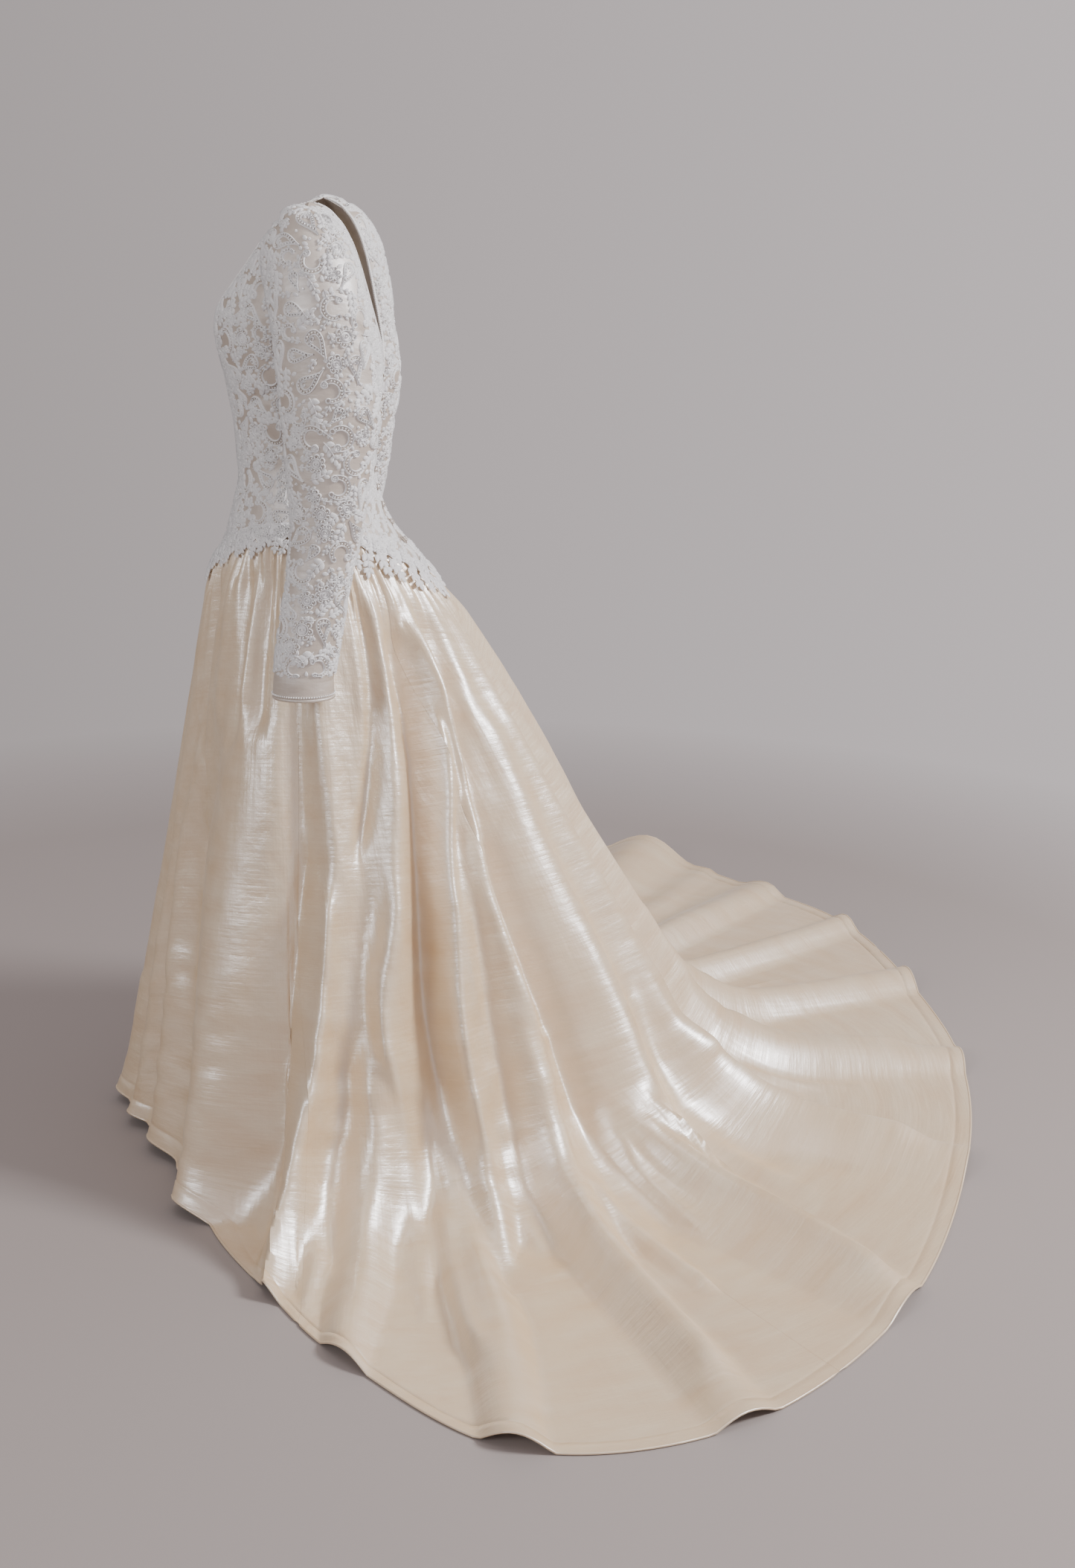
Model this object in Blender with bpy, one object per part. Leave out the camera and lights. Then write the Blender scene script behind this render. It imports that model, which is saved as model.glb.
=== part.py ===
"""Long-sleeved wedding dress, standing in its worn shape with its train laid out.

The front faces -Y and the wearer's left is +X. The origin is on the centre line,
level with the top of the shoulders, where the wearer holds the dress up. Heights
in the tables are measured above the floor that the train lies on.
"""

import math

import bmesh
import bpy
import numpy as np
from mathutils import Vector
from mathutils.bvhtree import BVHTree

# Driving sizes, in metres
SHOULDER_HEIGHT = 1.440
SEAM_GAP = 0.0003
BODICE_CLOTH = 0.0018
SKIRT_CLOTH = 0.0016
TRIM_CLOTH = 0.0012
APPLIQUE_HEIGHT = 0.0009
CUFF_BAND = 0.022
CUFF_BINDING = 0.005
NECK_TRIM = 0.009
BUTTON_RADIUS = 0.0052
BUTTON_COUNT = 10
GATHERS_PER_FOLD = 3
GATHER_DEPTH = 0.0042
TOP_FULLNESS = 0.010

# Body of the bodice: level rings, from the basque to the shoulder
TORSO_COLUMNS = ("height", "half_width", "front_y", "back_y", "middle_y")
TORSO = (
    (0.880, 0.178, -0.158, 0.176, 0.010),
    (0.920, 0.170, -0.144, 0.160, 0.008),
    (0.956, 0.161, -0.124, 0.130, 0.004),
    (0.985, 0.153, -0.114, 0.112, 0.000),
    (1.015, 0.143, -0.107, 0.102, -0.002),
    (1.045, 0.135, -0.101, 0.097, -0.002),
    (1.073, 0.132, -0.100, 0.099, 0.000),
    (1.119, 0.135, -0.104, 0.106, 0.000),
    (1.165, 0.143, -0.109, 0.111, 0.000),
    (1.200, 0.150, -0.113, 0.113, 0.000),
    (1.233, 0.156, -0.117, 0.113, 0.000),
    (1.267, 0.161, -0.119, 0.109, 0.000),
    (1.295, 0.165, -0.113, 0.105, 0.002),
    (1.323, 0.168, -0.098, 0.101, 0.006),
    (1.356, 0.170, -0.076, 0.095, 0.012),
    (1.390, 0.170, -0.050, 0.084, 0.018),
    (1.415, 0.168, -0.024, 0.068, 0.022),
    (1.432, 0.165, 0.002, 0.046, 0.023),
    (1.440, 0.163, 0.0229, 0.0231, 0.023),
)
CUP_PLACE = (0.072, 1.262)
CUP_SPREAD = 0.040
CUP_DEPTH = 0.011
SHOULDER_DROP = 0.017

# Basque seam: bearing round the waist from centre front, and height
SEAM = (
    (0, 0.920),
    (8, 0.923),
    (18, 0.938),
    (38, 0.966),
    (65, 0.982),
    (92, 0.986),
    (120, 0.976),
    (145, 0.950),
    (163, 0.921),
    (172, 0.906),
    (180, 0.903),
)

# Upper edge of half a panel: share of the panel's width, bearing, height
FRONT_EDGE = (
    (0.00, 0, 1.262),
    (0.10, 9, 1.272),
    (0.20, 17, 1.300),
    (0.30, 24, 1.345),
    (0.38, 30, 1.395),
    (0.46, 36, 1.440),
    (0.58, 48, 1.440),
    (0.70, 59, 1.440),
    (0.745, 63, 1.412),
    (0.79, 66, 1.380),
    (0.88, 72, 1.325),
    (0.95, 79, 1.280),
    (1.00, 90, 1.264),
)
BACK_EDGE = (
    (0.00, 90, 1.264),
    (0.05, 101, 1.280),
    (0.12, 108, 1.325),
    (0.21, 113, 1.376),
    (0.255, 117, 1.412),
    (0.30, 121, 1.440),
    (0.42, 132, 1.440),
    (0.54, 144, 1.440),
    (0.63, 150, 1.395),
    (0.73, 157, 1.340),
    (0.83, 165, 1.285),
    (0.92, 173, 1.238),
    (1.00, 180, 1.215),
)
BODICE_COLUMNS = len(FRONT_EDGE) - 1
SHOULDER_POINT_FRONT = 0.70
SHOULDER_POINT_BACK = 0.30

# Left sleeve from armhole to wrist: inner line, outer line, front and back
SLEEVE_COLUMNS = ("inner_x", "inner_h", "outer_x", "outer_h", "front_y", "back_y")
SLEEVE = (
    (0.166, 1.272, 0.180, 1.434, -0.034, 0.072),
    (0.169, 1.274, 0.212, 1.434, -0.034, 0.088),
    (0.171, 1.272, 0.241, 1.416, -0.030, 0.100),
    (0.172, 1.267, 0.263, 1.384, -0.026, 0.105),
    (0.175, 1.256, 0.277, 1.342, -0.022, 0.110),
    (0.178, 1.237, 0.285, 1.291, -0.016, 0.113),
    (0.181, 1.205, 0.288, 1.235, -0.013, 0.116),
    (0.185, 1.165, 0.290, 1.180, -0.010, 0.123),
    (0.190, 1.120, 0.290, 1.130, -0.006, 0.117),
    (0.196, 1.070, 0.291, 1.078, -0.003, 0.108),
    (0.203, 1.020, 0.293, 1.026, 0.001, 0.100),
    (0.211, 0.970, 0.296, 0.974, -0.003, 0.088),
    (0.219, 0.920, 0.300, 0.923, -0.010, 0.077),
    (0.227, 0.870, 0.305, 0.872, -0.019, 0.068),
    (0.234, 0.820, 0.310, 0.822, -0.026, 0.058),
    (0.237, 0.800, 0.312, 0.802, -0.029, 0.055),
)
SLEEVE_SIDES = 20
TUCK_DEPTH = 0.003
# Two panels a sleeve, over and under the arm: ring points from the front by the top
SLEEVE_PANELS = (("sleeve_top", -2, 12), ("sleeve_under", 12, 18))

# Skirt folds, one row a ridge, going round from centre front by the wearer's left
FOLD_COLUMNS = (
    "waist_deg",
    "foot_x",
    "foot_y",
    "hem_x",
    "hem_y",
    "foot_h",
    "hem_h",
    "valley",
)
FOLDS = (
    (-9, -0.060, -0.338, -0.064, -0.354, 0.060, 0.022, 0.028),
    (14, 0.036, -0.302, 0.038, -0.317, 0.060, 0.024, 0.030),
    (34, 0.128, -0.262, 0.134, -0.272, 0.060, 0.024, 0.044),
    (57, 0.318, -0.190, 0.336, -0.198, 0.060, 0.026, 0.090),
    (78, 0.450, -0.050, 0.555, -0.046, 0.050, 0.020, 0.036),
    (97, 0.430, 0.080, 0.735, 0.085, 0.045, 0.022, 0.060),
    (113, 0.415, 0.225, 0.935, 0.315, 0.048, 0.026, 0.070),
    (127, 0.370, 0.370, 0.880, 0.600, 0.045, 0.022, 0.060),
    (143, 0.265, 0.505, 0.600, 0.845, 0.055, 0.018, 0.070),
    (162, 0.052, 0.647, 0.180, 1.005, 0.055, 0.020, 0.068),
    (182, -0.190, 0.674, -0.205, 1.068, 0.055, 0.018, 0.065),
    (200, -0.370, 0.640, -0.570, 1.036, 0.050, 0.024, 0.065),
    (217, -0.480, 0.540, -0.870, 0.960, 0.050, 0.022, 0.062),
    (233, -0.535, 0.410, -1.060, 0.820, 0.050, 0.024, 0.050),
    (248, -0.535, 0.270, -1.280, 0.580, 0.048, 0.050, 0.050),
    (263, -0.495, 0.120, -1.270, 0.240, 0.048, 0.028, 0.058),
    (279, -0.445, -0.030, -0.720, 0.020, 0.048, 0.022, 0.050),
    (299, -0.360, -0.180, -0.378, -0.190, 0.060, 0.026, 0.045),
    (326, -0.215, -0.290, -0.222, -0.302, 0.060, 0.024, 0.036),
)
FOLD_COUNT = len(FOLDS)
# Folds lean towards the back as they rise: the ridges and valleys followed, by
# their place at the hem, and then their place at each level
FOLLOWED = (0, 2, 2.5, 3, 3.5, 4, 5, 5.5, 6, 7, 7.5, 8, 9, 10)
LEAN = (
    (0.00, 0, 2.0, 2.6, 3.2, 4.0, 4.4, 6.6, 7.6, 7.9, 8.2, 8.4, 8.7, 9.2, 10),
    (0.20, 0, 1.9, 2.4, 3.1, 4.4, 5.0, 6.4, 7.1, 7.5, 7.8, 8.0, 8.5, 9.1, 10),
    (0.35, 0, 1.6, 2.2, 3.0, 4.5, 5.1, 5.9, 6.35, 6.8, 7.35, 7.8, 8.4, 9.0, 10),
    (0.50, 0, 1.35, 1.9, 2.9, 4.3, 4.9, 5.5, 6.05, 6.45, 7.3, 7.75, 8.4, 9.0, 10),
    (0.62, 0, 1.5, 2.0, 3.0, 4.15, 4.7, 5.3, 5.85, 6.3, 7.15, 7.65, 8.3, 9.0, 10),
    (0.78, 0, 1.8, 2.25, 3.0, 3.85, 4.35, 5.1, 5.6, 6.1, 7.0, 7.5, 8.1, 9.0, 10),
    (1.00, 0, 2.0, 2.5, 3.0, 3.6, 4.0, 5.0, 5.5, 6.0, 7.0, 7.5, 8.0, 9.0, 10),
)
FILLET = 0.16
SKIRT_LEVELS = (0.0, 0.014, 0.038, 0.075, 0.125, 0.185, 0.25, 0.32, 0.39)
SKIRT_LEVELS += (0.46, 0.53, 0.60, 0.67, 0.74, 0.82, 0.91, 1.0)
GATHERED_LEVELS = 3
FINE_COLUMNS = 12
COARSE_COLUMNS = 6
SKIRT_PANELS = (
    ("skirt_front", -2.5, 4.5),
    ("skirt_left", 4.5, 7.5),
    ("train_back", 7.5, 11.5),
    ("skirt_right", 11.5, 16.5),
)

SATIN = ((0.83, 0.78, 0.70), 0.38)
LACE_SATIN = ((0.80, 0.78, 0.75), 0.55)
PIPING = ((0.86, 0.82, 0.75), 0.35)
PEARL = ((0.88, 0.85, 0.80), 0.25)


def column(table, index):
    """Return one column of a table of rows."""
    return np.array([row[index] for row in table], dtype=float)


def through(xs, ys, x):
    """Read a smooth curve through the points xs, ys at x."""
    x = np.clip(np.asarray(x, dtype=float), xs[0], xs[-1])
    slope = np.gradient(ys, xs)
    k = np.clip(np.searchsorted(xs, x, side="right") - 1, 0, len(xs) - 2)
    span = xs[k + 1] - xs[k]
    t = (x - xs[k]) / span
    a = (1 + 2 * t) * (1 - t) ** 2 * ys[k] + t * t * (3 - 2 * t) * ys[k + 1]
    b = t * (1 - t) ** 2 * slope[k] - t * t * (1 - t) * slope[k + 1]
    return a + b * span


def smoothstep(x):
    """Ease from 0 to 1 as x goes from 0 to 1."""
    x = np.clip(x, 0.0, 1.0)
    return x * x * (3 - 2 * x)


def unit(v):
    """Scale vectors in the last axis to length one."""
    return v / np.maximum(np.linalg.norm(v, axis=-1, keepdims=True), 1e-12)


def seam_height(bearing):
    """Height of the basque seam at a bearing in degrees from centre front."""
    folded = np.abs((np.asarray(bearing, dtype=float) + 180) % 360 - 180)
    knots = np.linspace(0, 180, 2 * BODICE_COLUMNS + 1)
    return np.interp(folded, knots, through(column(SEAM, 0), column(SEAM, 1), knots))


def torso(bearing, height):
    """Point of the bodice's outer surface, z measured from the shoulder."""
    bearing, height = np.broadcast_arrays(
        np.asarray(bearing, dtype=float), np.asarray(height, dtype=float)
    )
    heights = column(TORSO, 0)
    half, front, back, middle = (
        through(heights, column(TORSO, k), height) for k in range(1, 5)
    )
    angle = np.radians(bearing)
    x = half * np.sin(angle)
    forward = np.cos(angle)
    y = middle + np.where(forward > 0, front - middle, middle - back) * np.abs(
        forward
    ) * np.where(forward > 0, 1.0, -1.0)
    away = (np.abs(x) - CUP_PLACE[0]) ** 2 + (height - CUP_PLACE[1]) ** 2
    cup = CUP_DEPTH * np.exp(-away / (2 * CUP_SPREAD**2))
    y = y - cup * np.clip(forward, 0, 1)
    slope = np.clip((np.abs(x) - 0.085) / 0.06, 0, 1.2) ** 2
    z = height - SHOULDER_DROP * slope * smoothstep((height - 1.30) / 0.13)
    return np.stack([x, y, z - SHOULDER_HEIGHT], axis=-1)


def torso_normal(bearing, height):
    """Outward direction of the bodice's surface."""
    turn = torso(bearing + 0.4, height) - torso(bearing - 0.4, height)
    low = np.maximum(height - 0.0015, TORSO[0][0])
    high = np.minimum(height + 0.0015, TORSO[-1][0])
    rise = torso(bearing, high) - torso(bearing, low)
    return unit(np.cross(turn, rise))


def applique(across, height, seed_turn):
    """Raised leaf-and-spray relief: 0 to 1, from distance round and height."""
    across, height = np.broadcast_arrays(across, height)
    wave = np.sin(across / 0.0150 + 1.7 * np.sin(height / 0.031 + seed_turn))
    rows = np.sin(height / 0.0175 + 1.3 * np.sin(across / 0.024))
    return np.clip(0.55 + 0.65 * wave * rows, 0.0, 1.0)


def panel_point(edge, share, rise):
    """Bearing and height of a bodice panel at a share of its width and rise."""
    shares = column(edge, 0)
    start, end = edge[0][1], edge[-1][1]
    ordered = np.arange(len(edge)) / (len(edge) - 1)
    foot = start + (end - start) * np.interp(share, shares, ordered)
    top_bearing = np.interp(share, shares, column(edge, 1))
    top_height = np.interp(share, shares, column(edge, 2))
    outward = np.abs(top_bearing - 90) < np.abs(foot - 90)
    bearing = foot + (top_bearing - foot) * rise ** np.where(outward, 3.5, 1.2)
    base = seam_height(foot)
    return bearing, base + (top_height - base) * rise


def make_material(name, finish):
    """Make a plain Principled material from a colour and a roughness."""
    colour, roughness = finish
    material = bpy.data.materials.new(name)
    material.use_nodes = True
    shader = material.node_tree.nodes["Principled BSDF"]
    shader.inputs["Base Color"].default_value = (*colour, 1.0)
    shader.inputs["Roughness"].default_value = roughness
    shader.inputs["Metallic"].default_value = 0.0
    return material


def strip_faces(bm, low, high, wrap):
    """Fill between two rows of vertices, the second as many or half as many."""
    step = 2 if len(high) < len(low) else 1
    count = len(high) if wrap else len(high) - 1
    for j in range(count):
        near, far = high[j], high[(j + 1) % len(high)]
        if step == 2:
            a, b, c = low[2 * j], low[2 * j + 1], low[(2 * j + 2) % len(low)]
            bm.faces.new((a, b, near))
            bm.faces.new((b, far, near))
            bm.faces.new((b, c, far))
        else:
            a, b = low[j], low[(j + 1) % len(low)]
            if (a.co - far.co).length <= (b.co - near.co).length:
                bm.faces.new((a, b, far))
                bm.faces.new((a, far, near))
            else:
                bm.faces.new((a, b, near))
                bm.faces.new((b, far, near))


def make_cloth(name, outer, inner, material, wrap=False):
    """Make a closed wall of cloth from rows of outer and inner points."""
    bm = bmesh.new()
    index = bm.verts.layers.int.new("point")
    rows = []
    for points in outer:
        rows.append([bm.verts.new(tuple(p)) for p in points])
    for number, vert in enumerate(v for row in rows for v in row):
        vert[index] = number
    for low, high in zip(rows, rows[1:]):
        strip_faces(bm, low, high, wrap)
    lining = np.concatenate([np.asarray(r) for r in inner])
    made = bmesh.ops.extrude_face_region(bm, geom=bm.faces[:], use_keep_orig=True)
    for item in made["geom"]:
        if isinstance(item, bmesh.types.BMVert):
            item.co = lining[item[index]]
    bmesh.ops.triangulate(bm, faces=bm.faces[:], quad_method="SHORT_EDGE")
    bmesh.ops.recalc_face_normals(bm, faces=bm.faces[:])
    if bm.calc_volume(signed=True) < 0:
        bmesh.ops.reverse_faces(bm, faces=bm.faces[:])
    bm.verts.layers.int.remove(index)
    return finish_object(name, bm, material)


def finish_object(name, bm, material):
    """Turn a bmesh into a named, smooth-shaded object."""
    mesh = bpy.data.meshes.new(name)
    bm.to_mesh(mesh)
    bm.free()
    mesh.materials.append(material)
    mesh.shade_smooth()
    mesh.set_sharp_from_angle(angle=math.radians(45))
    obj = bpy.data.objects.new(name, mesh)
    bpy.context.collection.objects.link(obj)
    return obj


def mirrored(rows, side):
    """Flip rows of points across the centre line when side is -1."""
    return [np.asarray(r) * np.array([side, 1.0, 1.0]) for r in rows]


def bodice_rows(edge, shares, levels, phase):
    """Outer and inner rows of a bodice panel, from the seam up to its edge."""
    outer, inner = [], []
    last = len(levels) - 1
    for k, rise in enumerate(levels):
        bearing, height = panel_point(edge, shares, rise)
        point = torso(bearing, height)
        normal = torso_normal(bearing, height)
        into = -normal * BODICE_CLOTH
        if k == 0:
            level = unit(normal * np.array([1.0, 1.0, 0.0]))
            into = -level * BODICE_CLOTH
        lift = np.zeros(len(shares))
        if 2 < k < last:
            lift[1:-1] = applique(bearing * 0.0026, height, phase)[1:-1]
        outer.append(point + normal * (APPLIQUE_HEIGHT * lift)[:, None])
        inner.append(point + into)
    return outer, inner


def part_seams(rows, edge, side_seam, centre_seam):
    """Draw a panel's edges back so that neighbours stand a seam gap apart."""
    half = SEAM_GAP / 2
    shoulder = column(edge, 2) > TORSO[-1][0] - 0.001
    forward = edge[0][1] == 0 or edge[-1][1] == 90
    middle = TORSO[-1][4]
    for row in rows:
        if side_seam is not None:
            sign = -1.0 if forward else 1.0
            row[side_seam, 1] += sign * half
        if centre_seam is not None:
            row[centre_seam, 0] = np.maximum(row[centre_seam, 0], half)
    for row in rows[-2:]:
        for j in np.nonzero(shoulder)[0]:
            if forward:
                row[j, 1] = min(row[j, 1], middle - half)
            else:
                row[j, 1] = max(row[j, 1], middle + half)
    return rows


def make_bodice(lace_satin):
    """Front in one piece, and two backs that meet under the buttons."""
    levels = np.array([0, 0.035, 0.08, 0.17, 0.27, 0.37, 0.48, 0.59, 0.70, 0.80, 0.89, 0.96, 1])
    shares = column(FRONT_EDGE, 0)
    outer, inner = bodice_rows(FRONT_EDGE, shares, levels, 0.4)
    last = len(shares) - 1
    outer = part_seams(outer, FRONT_EDGE, last, None)
    inner = part_seams(inner, FRONT_EDGE, last, None)
    flip = np.array([-1.0, 1.0, 1.0])
    both = [np.concatenate([(r * flip)[:0:-1], r]) for r in outer]
    both_inner = [np.concatenate([(r * flip)[:0:-1], r]) for r in inner]
    make_cloth("bodice_front", both, both_inner, lace_satin)
    shares = column(BACK_EDGE, 0)
    last = len(shares) - 1
    outer, inner = bodice_rows(BACK_EDGE, shares, levels, 1.1)
    outer = part_seams(outer, BACK_EDGE, 0, last)
    inner = part_seams(inner, BACK_EDGE, 0, last)
    for side, word in ((1, "left"), (-1, "right")):
        make_cloth(
            f"bodice_back_{word}",
            mirrored(outer, side),
            mirrored(inner, side),
            lace_satin,
        )


def armhole_loop(sides):
    """Outer edge of the left armhole and the way off it into the hole."""
    found = []
    for edge, low, high in (
        (FRONT_EDGE, SHOULDER_POINT_FRONT, 1.0),
        (BACK_EDGE, 0.0, SHOULDER_POINT_BACK),
    ):
        shares = column(edge, 0)
        shares = shares[(shares >= low) & (shares <= high)]
        bearing, height = panel_point(edge, shares, 1.0)
        found.append((torso(bearing, height), torso_normal(bearing, height)))
    point, normal = (np.concatenate(pair) for pair in zip(*found))
    centre = (point.min(axis=0) + point.max(axis=0)) / 2
    turn = np.arctan2(point[:, 2] - centre[2], centre[1] - point[:, 1])
    order = np.argsort(turn)
    turn, point, normal = turn[order], point[order], normal[order]
    edge = np.roll(point, -1, axis=0) - np.roll(point, 1, axis=0)
    out = unit(np.cross(edge, normal))
    out = out * np.sign(np.sum(out * (centre - point), axis=-1, keepdims=True))
    wrapped = np.concatenate([turn - 2 * math.pi, turn, turn + 2 * math.pi])
    want = sleeve_turns(sides)
    read = []
    for values in (point, out):
        values = np.concatenate([values] * 3)
        read.append(
            np.stack([np.interp(want, wrapped, values[:, k]) for k in range(3)], -1)
        )
    return read[0], unit(read[1])


def sleeve_turns(sides):
    """Angles round a sleeve, from its front by its top to its back."""
    return np.arange(sides) * 2 * math.pi / sides


def sleeve_ring(row, turns):
    """Ring of points round the left sleeve, where its table has that row."""
    inner_x, inner_h, outer_x, outer_h, front_y, back_y = row
    rise = np.array([outer_x - inner_x, 0, outer_h - inner_h]) / 2
    centre = np.array([inner_x, (front_y + back_y) / 2, inner_h]) + rise
    centre[1] = (front_y + back_y) / 2
    reach = np.array([0, (front_y - back_y) / 2, 0])
    ring = centre + np.outer(np.cos(turns), reach) + np.outer(np.sin(turns), rise)
    return ring - np.array([0, 0, SHOULDER_HEIGHT])


def ring_normals(rings):
    """Outward directions of a tube given as rows of ring points."""
    grid = np.array(rings)
    round_way = np.roll(grid, -1, axis=1) - np.roll(grid, 1, axis=1)
    long_way = np.gradient(grid, axis=0)
    return unit(np.cross(long_way, round_way))


def sleeve_rows():
    """Outer and inner rings of the left sleeve."""
    turns = sleeve_turns(SLEEVE_SIDES)
    edge, out = armhole_loop(SLEEVE_SIDES)
    rings = [edge + out * 2 * SEAM_GAP]
    for k, row in enumerate(SLEEVE):
        ring = sleeve_ring(row, turns)
        if k < 4:
            puff = np.clip(np.sin(turns), 0, 1) * (1 - k / 4)
            ripple = TUCK_DEPTH * puff * np.cos(5 * turns)
            middle = ring.mean(axis=0)
            ring = ring + unit(ring - middle) * ripple[:, None]
        rings.append(ring)
    normals = ring_normals(rings)
    middle = np.array(rings).mean(axis=1, keepdims=True)
    facing = np.sum(normals * (np.array(rings) - middle), axis=-1, keepdims=True)
    normals = normals * np.sign(facing.mean())
    normals[-1] = unit(normals[-1] * np.array([1.0, 1.0, 0.0]))
    count = len(rings)
    outer, inner = [], []
    for k, ring in enumerate(rings):
        lift = np.zeros(SLEEVE_SIDES)
        if 2 < k < count - 2:
            lift = applique(turns * 0.052, ring[:, 2], 2.2)
        outer.append(ring + normals[k] * (APPLIQUE_HEIGHT * lift)[:, None])
        inner.append(ring - normals[k] * BODICE_CLOTH)
    return outer, inner, normals[-1]


def cut_out(ring, start, stop):
    """Run of points of a ring, its ends drawn in by half a seam gap."""
    run = ring[np.arange(start, stop + 1) % len(ring)]
    ends = unit(np.array([run[1] - run[0], run[-2] - run[-1]]))
    run[[0, -1]] += ends * SEAM_GAP * 0.6
    return run


def make_sleeves(lace_satin, satin, piping):
    """Both sleeves, each in two panels over a cuff band and a rolled binding."""
    outer, inner, flat = sleeve_rows()
    flat = unit(flat * np.array([1.0, 1.0, 0.0]))
    wrist = outer[-1]
    down = np.array([0.0, 0.0, -1.0])
    gap = down * SEAM_GAP
    band_top = wrist + gap
    band = [band_top, band_top + down * CUFF_BAND + flat * 0.0012]
    band_inner = [ring - flat * BODICE_CLOTH for ring in band]
    start = band[-1] + gap
    roll = [
        start,
        start + down * CUFF_BINDING * 0.5 + flat * 0.0014,
        start + down * CUFF_BINDING,
    ]
    roll_inner = [r - flat * t for r, t in zip(roll, (0.0018, 0.0034, 0.0018))]
    for side, word in ((1, "left"), (-1, "right")):
        for name, start, stop in SLEEVE_PANELS:
            a = [cut_out(ring, start, stop) for ring in mirrored(outer, side)]
            b = [cut_out(ring, start, stop) for ring in mirrored(inner, side)]
            make_cloth(f"{name}_{word}", a, b, lace_satin)
        for name, a, b, material in (
            (f"cuff_band_{word}", band, band_inner, satin),
            (f"cuff_binding_{word}", roll, roll_inner, piping),
        ):
            make_cloth(name, mirrored(a, side), mirrored(b, side), material, wrap=True)


def make_neck_trims(lace_satin):
    """Beaded bands along the front neckline and down both sides of the back."""
    flip = np.array([-1.0, 1.0, 1.0])
    for name, edge, low, high in (
        ("neck_trim_front", FRONT_EDGE, 0.0, 0.455),
        ("neck_trim_back", BACK_EDGE, 0.545, 1.0),
    ):
        shares = np.linspace(low, high, 11)
        base = seam_height(panel_point(edge, shares, 0.0)[0])
        length = np.interp(shares, column(edge, 0), column(edge, 2)) - base
        outer, inner = [], []
        for inset in (0.0015 + NECK_TRIM, 0.0015):
            bearing, height = panel_point(edge, shares, 1 - inset / length)
            point = torso(bearing, height)
            normal = torso_normal(bearing, height)
            outer.append(point + normal * (0.0014 + TRIM_CLOTH))
            inner.append(point + normal * 0.0014)
        if edge is FRONT_EDGE:
            both = [np.concatenate([(r * flip)[:0:-1], r]) for r in outer]
            both_inner = [np.concatenate([(r * flip)[:0:-1], r]) for r in inner]
            make_cloth(name, both, both_inner, lace_satin)
            continue
        for rows in (outer, inner):
            for row in rows:
                row[-1, 0] = max(row[-1, 0], SEAM_GAP)
        for side, word in ((1, "left"), (-1, "right")):
            a, b = mirrored(outer, side), mirrored(inner, side)
            make_cloth(f"{name}_{word}", a, b, lace_satin)


def fold_values(place):
    """Ridge table read smoothly at a place counted in ridges round the skirt."""
    place = np.asarray(place, dtype=float)
    k = np.floor(place).astype(int)
    t = place - k
    table = np.array(FOLDS)
    values = []
    for number in range(7):
        ring = table[:, number]

        def at(shift, ring=ring, number=number):
            index = k + shift
            value = ring[index % FOLD_COUNT]
            if number == 0:
                value = value + 360.0 * np.floor_divide(index, FOLD_COUNT)
            return value

        a, b, c, d = at(-1), at(0), at(1), at(2)
        values.append(
            b
            + 0.5
            * t
            * (c - a + t * (2 * a - 5 * b + 4 * c - d + t * (3 * (b - c) + d - a)))
        )
    return values


def leaned(place, level):
    """Place at the hem of the fold that passes a place at a level."""
    rows = np.array([np.interp(place, row[1:], np.array(FOLLOWED)) for row in LEAN])
    inside = (place > FOLLOWED[0]) & (place < FOLLOWED[-1])
    levels = column(LEAN, 0)
    k = np.clip(np.searchsorted(levels, level, side="right") - 1, 0, len(LEAN) - 2)
    t = smoothstep((level - levels[k]) / (levels[k + 1] - levels[k]))
    low = np.take_along_axis(rows, k[None], axis=0)[0]
    high = np.take_along_axis(rows, k[None] + 1, axis=0)[0]
    return np.where(inside, low + (high - low) * t, place)


def skirt_ridge_surface(place, level):
    """Smooth surface over the ridges, and how far down it each point is."""
    values = fold_values(place)
    bearing, foot_x, foot_y, hem_x, hem_y, foot_h, hem_h = values
    waist = torso(bearing, seam_height(bearing))
    waist[..., 2] -= SEAM_GAP + 0.0001
    foot = np.stack([foot_x, foot_y, foot_h - SHOULDER_HEIGHT], axis=-1)
    hem = np.stack([hem_x, hem_y, hem_h - SHOULDER_HEIGHT], axis=-1)
    drop = np.linalg.norm(foot - waist, axis=-1)[..., None]
    spread = np.linalg.norm(hem - foot, axis=-1)[..., None]
    length = drop + spread
    s = np.asarray(level, dtype=float)[..., None] * length
    corner = np.minimum(FILLET, 0.9 * spread)
    first = waist + (foot - waist) * s / drop
    last = foot + (hem - foot) * (s - drop) / np.maximum(spread, 1e-6)
    bend = np.clip((s - drop + corner) / (2 * corner), 0, 1)
    enter = foot + (waist - foot) * corner / drop
    leave = foot + (hem - foot) * corner / np.maximum(spread, 1e-6)
    curve = (1 - bend) ** 2 * enter + 2 * bend * (1 - bend) * foot + bend**2 * leave
    point = np.where(
        s < drop - corner, first, np.where(s > drop + corner, last, curve)
    )
    share = s / drop
    angle = np.radians(bearing)[..., None]
    out = np.concatenate([np.sin(angle), -np.cos(angle), 0 * angle], axis=-1)
    point = point + out * TOP_FULLNESS * (share / 0.1) * np.exp(1 - share / 0.1)
    return point, s[..., 0], share[..., 0]


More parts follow.
